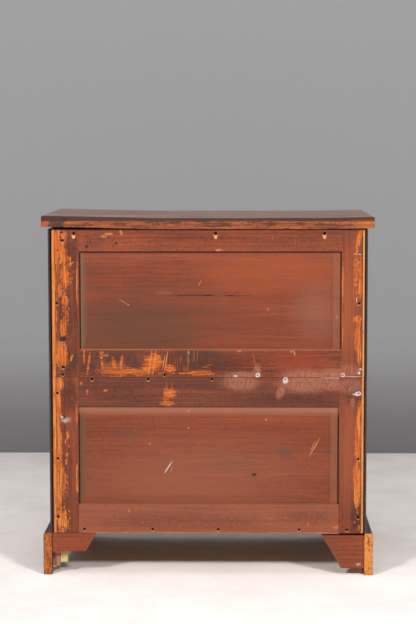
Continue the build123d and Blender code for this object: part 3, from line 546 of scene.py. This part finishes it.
class StainedWood(Recipe):
    """Thin red-brown stain over planed softwood, and what the years have done to it."""

    def __init__(self, name, along, seed, tone=0.0, swirl=0.0, lively=1.0):
        super().__init__(name)
        self.along = along
        self.seed = seed
        broad = self.cloud(grain_size(along, 520.0, 46.0), detail=4.0, rough=0.6, seed=seed, warp=swirl)
        streaks = self.cloud(
            grain_size(along, 210.0, 3.6), detail=4.0, rough=0.6, seed=seed + 1, warp=swirl
        )
        self.fibres = self.cloud(grain_size(along, 34.0, 0.8), detail=3.0, rough=0.6, seed=seed + 2)
        rags = self.cloud(grain_size(along, 26.0, 6.0), detail=7.0, rough=0.78, seed=seed + 3)
        flecks = self.cloud(grain_size(along, 7.0, 2.2), detail=4.0, rough=0.7, seed=seed + 9)
        self.ragged = rags * 0.6 + flecks * 0.4
        self.specks = self.cloud((7.0, 7.0, 7.0), detail=5.0, rough=0.65, seed=seed + 4)
        self.tone = (broad * 0.34 + streaks * 0.42 + self.fibres * 0.24 - 0.5) * lively + (0.5 + tone)
        self.colour = self.ramp(
            self.tone,
            [(0.3, display(84, 44, 32)), (0.44, display(124, 62, 42)), (0.55, display(152, 76, 48)),
             (0.7, display(180, 92, 54))],
        )
        red = self.cloud((150.0, 150.0, 60.0), detail=4.0, rough=0.6, seed=seed + 5)
        self.lay(display(172, 76, 40), red.step(0.5, 0.7) * 0.34)
        grey = self.cloud((120.0, 120.0, 46.0), detail=5.0, rough=0.6, seed=seed + 6)
        self.lay(display(112, 74, 58), grey.step(0.48, 0.72) * 0.42)
        self.lay(display(66, 38, 30), self.specks.step(0.57, 0.7) * (0.6 * lively))
        nicks = self.cloud(grain_size(along, 9.0, 2.2), detail=3.0, rough=0.6, seed=seed + 11)
        self.lay(display(60, 32, 25), nicks.step(0.64, 0.72) * (0.6 * lively))
        self.lay(display(206, 112, 62), nicks.step(0.36, 0.29) * 0.5)
        self.rough = self.fibres * 0.2 + 0.4
        self.relief = self.tone

    def lay(self, colour, mask):
        self.colour = self.over(self.colour, colour, mask)

    def inside(self, places, ragged=1.0, soft=0.16):
        """A mask of some ovals whose rims are broken up by the grain."""
        distance = self.ovals(places) + (self.ragged - 0.5) * (ragged * 4.6)
        return distance.step(1.0 + soft, 1.0 - soft)

    def cloudy(self, places):
        """A soft mask of some ovals: full in the middle, nothing at the rim."""
        return (self.ovals(places) + (self.ragged - 0.5) * 0.8).step(1.0, 0.1)

    def wear(self, mask, bright=0.0):
        """Bare bright wood where mask is 1."""
        size = grain_size(self.along, 60.0, 2.6)
        streaks = self.cloud(size, detail=6.0, rough=0.75, seed=self.seed + 7) + bright
        bare = self.ramp(
            streaks,
            [(0.32, display(112, 52, 28)), (0.44, display(186, 86, 34)), (0.53, display(228, 118, 44)),
             (0.64, display(244, 154, 80))],
        )
        island_size = grain_size(self.along, 11.0, 3.4)
        islands = self.cloud(island_size, detail=4.0, rough=0.7, seed=self.seed + 12)
        mask = mask * (islands.step(0.64, 0.55) * 0.75 + 0.25)
        self.lay(bare, mask * 0.94)
        self.rough = self.rough + mask * 0.2
        self.relief = self.relief - mask * 0.25

    def scratch(self, places, colour=(214, 134, 70), strength=0.85):
        self.lay(display(*colour), self.inside(places, ragged=0.5, soft=0.35) * strength)

    def knots(self, places, rim=(196, 166, 140)):
        """Dark knots and dents, with a pale chipped rim below each."""
        below = [
            (x, z - height * 0.8, width * 0.8, height * 0.6, 0) for x, z, width, height, lean in places
        ]
        self.lay(display(*rim), self.inside(below, ragged=0.9, soft=0.3) * 0.6)
        self.lay(display(44, 28, 22), self.inside(places, ragged=0.5, soft=0.3) * 0.85)

    def scuffs(self, places, dense=0.2):
        """Small bare flecks, dense in the middle of some ovals and rarer towards their rims."""
        speckle = self.cloud((4.6, 4.6, 7.0), detail=6.0, rough=0.8, seed=self.seed + 10)
        near = self.ovals(places).step(1.0, 0.15)
        self.wear((speckle + near * dense).step(0.6, 0.67) * near.step(0.0, 0.2))

    def grime(self, places, strength=0.6):
        """Dark greyish patches of old dirt, broken up like the wear."""
        area = self.ovals(places).step(1.05, 0.3)
        broken = (self.ragged * 1.2 + self.specks * 0.4).step(0.66, 0.84)
        self.lay(display(74, 46, 38), area * (broken * 0.7 + 0.3) * strength)

    def arris(self, side, width, cream=0.0):
        """The bright worn strip along the outer edge, with a dark scored line on its inner side and a
        painted gap shadow along the outermost edge.
        """
        outward = self.x * side
        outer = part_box("upper_back_stiles")[1 if side > 0 else 0].x * mm * side
        scored = outward.band(outer - width - 2.0, outer - width - 0.6, 0.5)
        self.lay(display(84, 42, 26), scored * 0.75)
        self.wear(outward.step(outer - width - 0.4, outer - width + 0.6), bright=0.06 + cream * 0.12)
        edge = outward.step(outer - 4.6, outer - 3.4)
        self.lay(display(250, 190, 120), edge * self.fibres.step(0.3, 0.6) * cream)
        # Painted shadow of the gap between the stile and the side board, along the outermost 1.5 mm.
        self.lay(display(30, 17, 12), outward.step(outer - 1.5, outer - 0.6) * 0.85)

    def screw_rims(self, within):
        """Pale rims under the screw holes within ((low x, high x), (low z, high z)), partly chipped
        wood and partly a painted highlight on the lower wall of each hole, and painted shade inside the
        open holes.
        """
        near = [
            (x, z)
            for x, z in screw_places
            if within[0][0] < x < within[0][1] and within[1][0] < z < within[1][1]
        ]
        filled = [
            place
            for place in near
            if any(math.dist(place, spot) < filler_reach for spot in plaster_spots)
        ]
        open_holes = [place for place in near if place not in filled]
        # The pale rims are partly chipped wood and partly a painted highlight where the lower wall of
        # each hole catches the light.
        rims = [(x, z - hole_rim_drop, hole_rim_width, hole_rim_width, 0) for x, z in open_holes]
        self.lay(display(224, 166, 112), self.inside(rims, ragged=0.35) * 0.6)
        # Painted shade inside the open screw holes.
        shaded_bores = self.ovals([(x, z, hole_radius, hole_radius, 0) for x, z in open_holes])
        self.lay(display(26, 16, 13), shaded_bores.step(1.05, 0.9))
        if filled:
            spots = [(x, z, filler_radius, filler_radius, 0) for x, z in filled]
            self.lay(display(236, 222, 214), self.inside(spots, ragged=0.7))

    def pockets(self):
        """Clean pale wood inside the gouged pockets of the pocket screws, and painted shadow in the
        bore at the top of each pocket.
        """
        cuts = [(x, z, *pocket_half_size, 0) for x, z in pocket_places]
        cut = self.ovals(cuts).step(1.05, 0.95) * self.y.step(rear_face_y - 0.2, rear_face_y - 0.7)
        self.lay(display(244, 188, 124), cut)
        # Painted shadow in the bore at the top of each pocket.
        shaded_bores = [(x, z + pocket_bore_rise, *pocket_bore_half_size, 0) for x, z in pocket_places]
        shaded_bores = self.ovals(shaded_bores).step(1.1, 0.9)
        self.lay(display(30, 18, 14), shaded_bores)

    def haze(self, places, strength=0.72):
        """Pinkish smears of filler, brushed on across the grain."""
        brush = self.cloud((4.4, 30.0, 15.0), detail=6.0, rough=0.78, seed=self.seed + 8)
        smear = (self.ovals(places) + (brush - 0.5) * 2.2).step(1.05, 0.55)
        self.lay(display(200, 130, 104), smear * (brush.step(0.3, 0.62) * strength))
        self.rough = self.rough + smear * 0.2

    def top_shadow(self):
        """A painted shadow line along the top of the frame, where the overhanging top board shades it.
        """
        line = (self.z + self.ragged * 2.0).step(top_lower - 3.2, top_lower - 1.2)
        self.lay(display(28, 16, 12), line * 0.85)

    def done(self, gloss=0.16):
        return self.finish(self.colour, self.rough, relief=self.relief, depth=0.16, gloss=gloss)


stile_wood = StainedWood("upper_stile_stain", "z", 41.0, tone=-0.01, lively=1.25)
stile_wood.grime([(352, 820, 30, 90, 0), (366, 690, 26, 110, 0), (352, 560, 26, 60, 0)], 0.75)
stile_wood.lay(display(196, 104, 58), stile_wood.cloudy([(-362, 690, 32, 260, 0)]) * 0.45)
stile_wood.scuffs([(364, 780, 32, 60, 0), (364, 690, 17, 100, 0), (-380, 790, 16, 120, 0)], dense=0.16)
stile_wood.wear(stile_wood.inside([
    (392, 850, 19, 52, 0), (377, 868, 13, 32, 0), (368, 884, 9, 9, 0), (372, 836, 11, 20, 6),
    (366, 818, 16, 9, 24), (354, 807, 12, 4, 30), (367, 776, 8, 26, 0), (377, 742, 6, 16, 0),
    (367, 715, 8, 16, 0), (370, 645, 8, 22, 0), (380, 575, 20, 36, 0), (396, 690, 9, 250, 0),
    (351, 565, 3, 9, -20), (334, 760, 2.5, 60, 0),
    (-387, 880, 7, 28, -12), (-391, 800, 4, 26, 0), (-390, 748, 5, 24, 0), (-384, 666, 9, 9, 0),
    (-384, 620, 8, 38, 0), (-388, 575, 5, 24, 0), (-345, 760, 2.5, 50, 0), (-345, 660, 2, 60, 0),
]))
stile_wood.knots([
    (373, 889, 4, 3.5, 0), (376, 876, 2.5, 2.5, 0), (383, 843, 2.5, 2.5, 0), (372, 614, 9, 6.5, 0),
    (371, 868, 5, 4.5, 0), (371, 542, 5, 4, 0),
])
stile_wood.screw_rims(((-400, 400), (520, 895)))
stile_wood.haze([(-362, 532, 44, 22, 0)], strength=0.5)
stile_wood.scratch(
    [(-374, 518.6, 24, 0.7, 0), (-392, 538, 4, 2, 0), (-388, 528, 3, 4, 0)], (236, 216, 208), 0.9
)
stile_wood.scratch(
    [(-388, 833, 4, 1.4, 0), (-376, 834, 5, 0.9, 0), (-380, 716, 1.5, 6, 0)], (214, 190, 180), 0.8
)
stile_wood.arris(1.0, 8.0, cream=0.25)
stile_wood.arris(-1.0, 5.2, cream=0.8)
stile_wood.pockets()
stile_wood.top_shadow()
dress(stile_wood.done(), "upper_back_stiles")

stile_wood = StainedWood("lower_stile_stain", "z", 51.0, tone=-0.01, lively=1.25)
stile_wood.lay(display(184, 98, 66), stile_wood.cloudy([(-360, 310, 40, 220, 0)]) * 0.5)
stile_wood.grime(
    [(356, 470, 30, 60, 0), (376, 150, 28, 50, 0), (-384, 150, 22, 50, 0), (-372, 480, 34, 46, 0)], 0.8
)
stile_wood.scuffs([(374, 245, 20, 60, 0), (378, 148, 26, 44, 0)])
stile_wood.wear(stile_wood.inside([
    (383, 501, 10, 19, 0), (386, 440, 7, 50, 0), (386, 330, 8, 90, 0), (385, 230, 8, 60, 0),
    (377, 252, 6, 40, 0), (338, 415, 2.4, 26, 0), (338, 250, 2.4, 40, 0), (364, 315, 3.5, 5, 0),
    (362, 366, 3, 9, 0), (368, 350, 2, 6, 0), (358, 338, 2, 4, 0), (366, 296, 2.4, 7, 0),
    (-386, 166, 1.8, 5, 0), (-378, 140, 1.4, 3, 0), (-390, 127, 2, 8, 0), (-381, 154, 1.1, 3, 0),
    (-389, 420, 5, 34, -6), (-387, 345, 8.5, 70, 0), (-385, 240, 10, 62, 0),
]), bright=0.04)
stile_wood.wear(stile_wood.inside([(377, 141, 14, 27, 0)], ragged=2.3), bright=0.1)
stile_wood.knots([(373, 411, 9, 6, 0)], rim=(206, 180, 158))
stile_wood.lay(
    display(184, 158, 140), stile_wood.inside([(366, 405, 9, 6.5, 0)], ragged=1.7, soft=0.3) * 0.85
)
stile_wood.lay(
    display(238, 214, 186),
    stile_wood.inside([(376, 413, 3, 2.6, 0), (370, 403, 4, 1.8, 0)], ragged=1.2) * 0.8,
)
stile_wood.scratch([(374, 248, 3, 26, 0), (366, 232, 2, 10, 0)], (96, 76, 60), 0.7)
stile_wood.screw_rims(((-400, 400), (112, 516)))
stile_wood.haze([(-366, 494, 40, 26, 0), (-372, 452, 8, 16, 0)], strength=0.6)
stile_wood.scratch([(-384, 474, 6.5, 5, 0), (-378, 473, 7, 1.8, 0)], (236, 216, 208), 0.9)
stile_wood.arris(1.0, 8.0, cream=0.15)
stile_wood.arris(-1.0, 6.4, cream=0.45)
dress(stile_wood.done(), "lower_back_stiles")

rail_wood = StainedWood("top_rail_stain", "x", 61.0, tone=0.01, lively=1.25)
rail_wood.grime([(280, 865, 60, 20, 0), (-250, 862, 120, 22, 0), (60, 880, 60, 12, 0)], 0.26)
rail_wood.scratch(
    [(221, 889, 3, 8, 12), (253, 885, 11, 3, 0), (265, 879, 8, 3, 0), (-27, 844, 8, 3, 5)]
)
rail_wood.scratch(
    [(-223, 868, 1, 14, 0), (-231, 866, 0.8, 10, 6), (-166, 876, 1, 9, 0)], (190, 116, 80), 0.4
)
rail_wood.knots([(233, 861, 4, 3, 0), (309, 853, 4, 4, 0), (299, 864, 2, 4, 0)], rim=(150, 92, 64))
rail_wood.pockets()
rail_wood.top_shadow()
dress(rail_wood.done(), "upper_back_top_rail")

rail_wood = StainedWood("seam_rail_stain", "x", 66.0, tone=-0.035, lively=1.4)
rail_wood.grime([(260, 552, 110, 50, 0), (60, 552, 130, 46, 0)], 0.66)
strokes = rail_wood.cloud((3.4, 3.4, 40.0), detail=5.0, rough=0.7, seed=77.0)
stroke_area = rail_wood.ovals([(235, 556, 110, 44, 0), (60, 556, 120, 34, 0)]).step(1.0, 0.3)
rail_wood.lay(display(190, 90, 44), strokes.step(0.51, 0.62) * stroke_area * 0.85)
rail_wood.scuffs(
    [(240, 536, 70, 34, 0), (140, 556, 44, 30, 0), (96, 540, 26, 16, 0), (20, 530, 50, 10, 0)],
    dense=0.24,
)
rail_wood.lay(
    display(80, 56, 50), rail_wood.cloudy([(230, 560, 150, 50, 0), (20, 575, 110, 30, 0)]) * 0.6
)
rail_wood.lay(
    display(176, 74, 40), rail_wood.inside([(-225, 560, 80, 22, 0)], ragged=1.6, soft=0.5) * 0.5
)
rail_wood.wear(rail_wood.inside([
    (318, 570, 2, 17, 0), (306, 554, 2.4, 34, -8), (273, 573, 6, 11, 0), (271, 550, 3, 15, 4),
    (262, 574, 8, 3, 0), (240, 548, 4, 16, 10), (222, 552, 3, 22, -6), (196, 531, 56, 8, 0),
    (139, 556, 19, 18, 0), (160, 540, 16, 8, 0), (98, 539, 8, 8, 0), (2, 546, 12, 2.5, 20),
    (12, 525, 24, 4, 0), (-81, 585, 5, 4, 0), (60, 527, 30, 2, 0),
], ragged=1.5))
rail_wood.scratch([
    (148, 554, 1.3, 34, -8), (137, 556, 1.3, 34, -8), (107, 558, 1.3, 24, -10),
    (113, 556, 1.1, 20, -10),
], (238, 146, 76), 0.9)
rail_wood.scratch([
    (51, 556, 1.2, 28, 0), (35, 572, 1.1, 16, 0), (26, 574, 0.9, 14, 0), (-120, 560, 1.2, 24, 12),
], (196, 116, 72), 0.55)
rail_wood.scratch(
    [(49, 581, 2.2, 4, 0), (-222, 580, 1.6, 8, 20), (-214, 584, 2, 3, 0)], (196, 158, 142), 0.75
)
rail_wood.haze(
    [(-88, 514, 62, 22, 0), (-126, 532, 13, 22, -16), (-250, 516, 84, 26, 0), (-320, 518, 60, 26, 0)]
)
rail_wood.scratch([(-71, 520, 5, 2, 0)], (232, 212, 206), 1.0)
rail_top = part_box("upper_back_bottom_rail")[1].z * mm
rail_wood.grime([(230, 524, 100, 5, 0), (-20, 545, 90, 20, 0)], 0.6)
# Painted highlight along the rail's upper arris, where the light catches the edge below the panel.
rail_wood.lay(display(206, 124, 84), rail_wood.z.step(rail_top - 2.6, rail_top - 1.2) * 0.65)
rail_wood.screw_rims(((-340, 330), (520, 560)))
dress(rail_wood.done(), "upper_back_bottom_rail")

rail_wood = StainedWood("lower_rail_stain", "x", 71.0, tone=0.015, lively=1.45)
above = rail_wood.z.step(300.0, 420.0)
rail_wood.lay(display(84, 56, 48), above * (rail_wood.ragged.step(0.38, 0.62) * 0.3 + 0.32))
rail_wood.lay(display(180, 110, 84), rail_wood.z.step(300.0, 180.0) * 0.44)
rail_wood.grime([(230, 480, 110, 44, 0), (-372, 480, 40, 44, 0), (-150, 460, 200, 20, 0)], 0.3)
rail_wood.scuffs([(106, 470, 18, 30, 0)], dense=0.2)
rail_wood.scuffs([(306, 485, 34, 20, 0), (150, 140, 190, 24, 0), (-230, 150, 150, 30, 0)], dense=0.04)
rail_wood.wear(rail_wood.inside([
    (97, 473, 14, 12, 0), (106, 449, 17, 6, 0), (310, 478, 2.5, 6, 0), (263, 483, 5, 3, 0),
    (326, 502, 3, 4, 0), (-259, 134, 3, 5, 0), (204, 169, 2.5, 5, 0), (-330, 128, 8, 5, 0),
], ragged=1.1))
rail_wood.scratch(
    [(104, 482, 1.2, 28, 6), (92, 484, 1.0, 24, 2), (112, 470, 1.0, 20, 0)], (190, 104, 62), 0.6
)
rail_wood.grime([(60, 140, 300, 30, 0), (-260, 150, 120, 30, 0)], 0.34)
rail_wood.haze(
    [(-84, 502, 58, 24, 0), (-250, 500, 84, 28, 0), (-188, 482, 13, 26, -24), (-320, 500, 50, 22, 0)]
)
rail_wood.scratch([(-199, 507, 7, 6, 0), (-330, 515.4, 42, 0.7, 0)], (232, 212, 206), 0.9)
rail_wood.screw_rims(((-340, 335), (112, 516)))
bottom_edge = (rail_wood.z + rail_wood.ragged * 4.0).step(116.0, 114.5)
rail_wood.wear(bottom_edge * 0.8)
dress(rail_wood.done(), "lower_back_rails")

for node, seed in (("upper_back_panel", 81.0), ("lower_back_panel", 86.0)):
    panel_low, panel_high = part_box(node)
    groove = 7.0
    bevel = 24.0
    left, right = panel_high.x * mm - groove, panel_low.x * mm + groove
    bottom, top = panel_low.z * mm + groove, panel_high.z * mm - groove
    panel_wood = StainedWood(node + "_stain", "x", seed, tone=-0.004, swirl=0.5, lively=0.74)
    middle_x, middle_z = (left + right) / 2, (bottom + top) / 2
    shine = 0.5 if node == "upper_back_panel" else 0.1
    panel_wood.lay(
        display(182, 88, 50), panel_wood.cloudy([(middle_x - 190, top - 50, 330, 110, 0)]) * shine
    )
    if node == "upper_back_panel":
        panel_wood.lay(
            display(98, 66, 50), panel_wood.cloudy([(middle_x + 180, bottom + 56, 350, 150, 0)]) * 0.66
        )
        panel_wood.lay(
            display(158, 104, 82),
            panel_wood.cloudy([(middle_x - 270, middle_z - 30, 90, 110, 0)]) * 0.5,
        )
    else:
        panel_wood.lay(
            display(172, 102, 74), panel_wood.cloudy([(middle_x + 40, bottom + 70, 460, 170, 0)]) * 0.55
        )
    # The panel's bevels are painted darker on the left and lighter on the right: painted shading of how
    # the light falls on their slopes.
    upward = ((panel_wood.z - middle_z) * (2.0 / (top - bottom))).math("ABSOLUTE")
    bowed = panel_wood.x - upward.math("POWER", 5.0) * 17.0
    left_bevel_shade = bowed.step(left - bevel + 2.0, left - bevel + 4.0)
    panel_wood.lay(display(122, 86, 62), left_bevel_shade * 0.6)
    bevel_rim_shading = display(150, 112, 86) if node == "upper_back_panel" else display(98, 74, 54)
    panel_wood.lay(bevel_rim_shading, panel_wood.x.step(left - 16.0, left - 4.0) * 0.5)
    right_bevel_light = panel_wood.x.step(right + bevel - 1.0, right + bevel - 4.0)
    panel_wood.lay(display(158, 102, 74), right_bevel_light * 0.5)
    # Painted highlight along the panel's bottom edge, where the light catches the lip of the recess.
    painted_bottom_highlight = panel_wood.z.step(bottom + 3.2, bottom + 1.6)
    panel_wood.lay(display(170, 112, 80), painted_bottom_highlight * 0.7)
    # Painted shadow in the recess where the panel meets the frame, along its top and both sides.
    painted_joint_shade = panel_wood.x.step(left - 4.4, left - 2.6)
    painted_joint_shade = painted_joint_shade.max(panel_wood.x.step(right + 5.0, right + 3.0))
    painted_joint_shade = painted_joint_shade.max(panel_wood.z.step(top - 5.0, top - 3.4))
    panel_wood.lay(display(40, 24, 16), painted_joint_shade * 0.88)
    inner_line = panel_wood.x.band(right + bevel + 1.0, right + bevel + 3.0, 1.0)
    panel_wood.lay(display(92, 66, 48), inner_line * (panel_wood.ragged.step(0.35, 0.6) * 0.5))
    if node == "upper_back_panel":
        panel_wood.scratch(
            [(48, 728.5, 52, 1.2, 0), (0, 728, 16, 1.5, 0), (-58, 727.5, 12, 1.3, 0)], (48, 32, 30), 1.0
        )
        panel_wood.scratch([(-80, 727, 44, 0.8, 0)], (70, 46, 40), 0.7)
        panel_wood.scratch([(216, 711, 13, 0.9, -30), (203, 703, 2.4, 1.6, 0)], (206, 142, 84), 0.75)
        panel_wood.scratch([(112, 735, 20, 5, 0)], (150, 104, 84), 0.4)
        panel_wood.scratch(
            [(-154, 692, 3, 3, 0), (-331, 672, 3, 5, 0), (20, 760, 9, 2, 60)], (206, 126, 76), 0.6
        )
    else:
        drift = panel_wood.cloud((420.0, 40.0, 60.0), detail=2.0, seed=seed + 9)
        rings = drift * 70.0 + panel_wood.z * 0.9
        wave = (rings * 0.9).math("SINE") * 0.5 + 0.5
        area = panel_wood.cloudy([(-60, 285, 330, 75, 0)])
        panel_wood.lay(display(112, 80, 64), wave.step(0.35, 0.9) * area * 0.36)
        panel_wood.lay(display(100, 82, 66), panel_wood.cloudy([(-200, 320, 30, 20, 0)]) * 0.6)
        # Painted light on the lower panel's top bevel, which slopes up towards the softboxes.
        top_bevel_light = (panel_wood.z + panel_wood.ragged * 6.0).step(top - bevel - 1.0, top - 5.0)
        panel_wood.lay(display(188, 124, 98), top_bevel_light * 0.62)
        panel_wood.scratch([(102, 283, 1.3, 17, -33)], (232, 214, 202), 1.0)
        panel_wood.scratch([(94, 276, 0.7, 8, -22)], (206, 160, 136), 0.7)
        panel_wood.scratch([(-275, 336, 1.6, 26, -30), (-270, 338, 0.8, 14, -24)], (214, 140, 84), 0.85)
        panel_wood.scratch([(-281, 318, 20, 0.7, 0)], (180, 116, 86), 0.5)
        panel_wood.scratch(
            [(50, 385, 2.5, 2, 0), (150, 344, 2.5, 2, 0), (49, 429, 3, 2, 0), (-150, 407, 2.5, 3, 0)],
            (214, 144, 96), 0.8,
        )
        panel_wood.knots([(-119, 264, 6, 3.5, 0)], rim=(120, 80, 62))
    dress(panel_wood.done(), node)


# ---- Screws of the back: dark oxidised steel, sunk below the face of the frames. Four of
# them lie under the filler that was brushed over their holes.
recipe = Recipe("dark_steel")
rust = recipe.cloud((1.5, 1.5, 1.5), detail=4.0, seed=91.0)
colour = recipe.ramp(rust, [(0.35, display(34, 28, 26)), (0.65, display(88, 52, 36))])
plaster = recipe.ovals([(x, z, 6.0, 6.0, 0) for x, z in plaster_spots]).step(1.05, 0.95)
colour = recipe.over(colour, display(236, 224, 216), plaster)
recipe.plug(plaster.step(1.0, 0.0) * 0.8, recipe.shader.inputs["Metallic"])
dark_steel = recipe.finish(colour, rust * 0.3 + 0.45, relief=rust, depth=0.1)
dress(dark_steel, "back_screws", "pocket_screws")


# ---- Plinth: mahogany boards mitred at the front, whose end grain shows at the rear corners,
# the stained brackets between them, and the softwood glue blocks, one of them new and pale.
plinth_thickness = 22.2
plinth_outer, plinth_top = (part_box("plinth_right")[1] * mm).xz
plinth_inner = plinth_outer - plinth_thickness
recipe, colour, roughness, relief = old_mahogany("plinth_side_mahogany", "y", 101.0)
end_tone = recipe.cloud((6.0, 40.0, 9.0), detail=4.0, seed=105.0)
end_grain = recipe.ramp(
    end_tone, [(0.3, display(126, 62, 28)), (0.5, display(186, 98, 46)), (0.7, display(218, 126, 60))]
)
outline = recipe.x.math("ABSOLUTE").step(plinth_outer - 2.4, plinth_outer - 0.8)
# Painted shadow in the joint between the plinth's inner end and the bracket.
inner_joint_shade = recipe.x.math("ABSOLUTE").step(plinth_inner + 1.8, plinth_inner + 0.6)
end_grain = recipe.over(end_grain, display(54, 26, 16), (outline * 0.7).max(inner_joint_shade * 0.85))
right_tint = recipe.x.step(10.0, -10.0)
end_grain = recipe.over(end_grain, display(255, 162, 80), right_tint * end_tone.step(0.26, 0.56) * 0.8)
end_face = recipe.y.step(rear_face_y - 1.2, rear_face_y - 0.4)
colour = recipe.over(colour, end_grain, end_face)
upper_line = recipe.z.step(plinth_top - 2.0, plinth_top - 0.6)
colour = recipe.over(colour, display(50, 30, 26), upper_line * 0.8)
side_plinths = recipe.finish(colour, roughness + end_face * 0.3, relief=relief, depth=0.1, gloss=0.25)
dress(side_plinths, "plinth_left", "plinth_right")
recipe, colour, roughness, relief = old_mahogany("plinth_front_mahogany", "x", 111.0)
dress(recipe.finish(colour, roughness, relief=relief, depth=0.08), "plinth_front")
for node, seed in (("rear_left_bracket", 121.0), ("rear_right_bracket", 126.0)):
    bracket_wood = StainedWood(
        node + "_stain", "x", seed, tone=0.085 if node == "rear_right_bracket" else 0.03
    )
    # Painted shadow in the joint between the bracket's outer end and the plinth.
    bracket_joint_shade = bracket_wood.x.math("ABSOLUTE").step(plinth_inner - 2.2, plinth_inner - 0.8)
    bracket_wood.lay(display(46, 24, 17), bracket_joint_shade * 0.85)
    bracket_wood.lay(display(46, 24, 17), bracket_wood.z.step(plinth_top - 2.4, plinth_top - 1.0) * 0.6)
    if node == "rear_left_bracket":
        bracket_wood.scratch([(-390, 30, 6, 1.0, 0), (-388, 27, 4, 0.8, 0)], (232, 222, 214), 0.9)
    dress(bracket_wood.done(), node)
old_block_wood = pine_boards("old_block_wood", "z", display(150, 96, 70), display(206, 146, 116), 131.0)
dress(old_block_wood, "foot_glue_blocks")
new_block_wood = pine_boards(
    "new_block_wood", "z", display(226, 184, 112), display(250, 222, 158), 136.0
)
dress(new_block_wood, "new_glue_block")


# ---- Drawers: figured mahogany fronts with cock-beads, and quiet oak linings. Each front has
# a seed of its own, so that no two boards share their figure.
drawers = [body[: -len("_drawer")] for body in frame["bodies"] if body.endswith("_drawer")]
for index, drawer in enumerate(sorted(drawers)):
    seed = 141.0 + 9.0 * index
    recipe, colour, roughness, relief = old_mahogany(
        drawer + "_front_mahogany", "x", seed,
        dark=(98, 40, 24), middle=(150, 68, 38), light=(198, 104, 60),
    )
    flame = recipe.cloud((240.0, 60.0, 34.0), detail=3.0, rough=0.5, seed=seed + 5, warp=1.6)
    colour = recipe.over(colour, display(86, 34, 22), flame.step(0.5, 0.66) * 0.5)
    dress(recipe.finish(colour, roughness, relief=relief, depth=0.06), drawer + "_drawer_front")
lining = pine_boards("oak_lining", "y", display(150, 112, 70), display(198, 158, 106), 191.0)
cross_lining = pine_boards("cross_lining", "x", display(150, 112, 70), display(198, 158, 106), 195.0)
for drawer in drawers:
    dress(lining, drawer + "_drawer_sides")
    dress(cross_lining, drawer + "_drawer_back", drawer + "_drawer_bottom")


# ---- Handles: cast brass pommels and swan-neck bails, dulled with handling. The tarnish is
# dark and rough in patches, with brighter, smoother metal between them.
recipe = Recipe("aged_brass")
tarnish = recipe.cloud((9.0, 9.0, 9.0), detail=4.0, seed=201.0)
colour = recipe.ramp(
    tarnish,
    [(0.35, (0.16, 0.09, 0.03, 1.0)), (0.5, (0.6, 0.4, 0.14, 1.0)), (0.7, (0.82, 0.6, 0.27, 1.0))],
)
recipe.shader.inputs["Metallic"].default_value = 1.0
aged_brass = recipe.finish(colour, tarnish.step(0.7, 0.3) * 0.3 + 0.2, relief=tarnish, depth=0.1)
for name in nodes:
    if name.endswith("_bail") or name.endswith("_pommels"):
        dress(aged_brass, name)
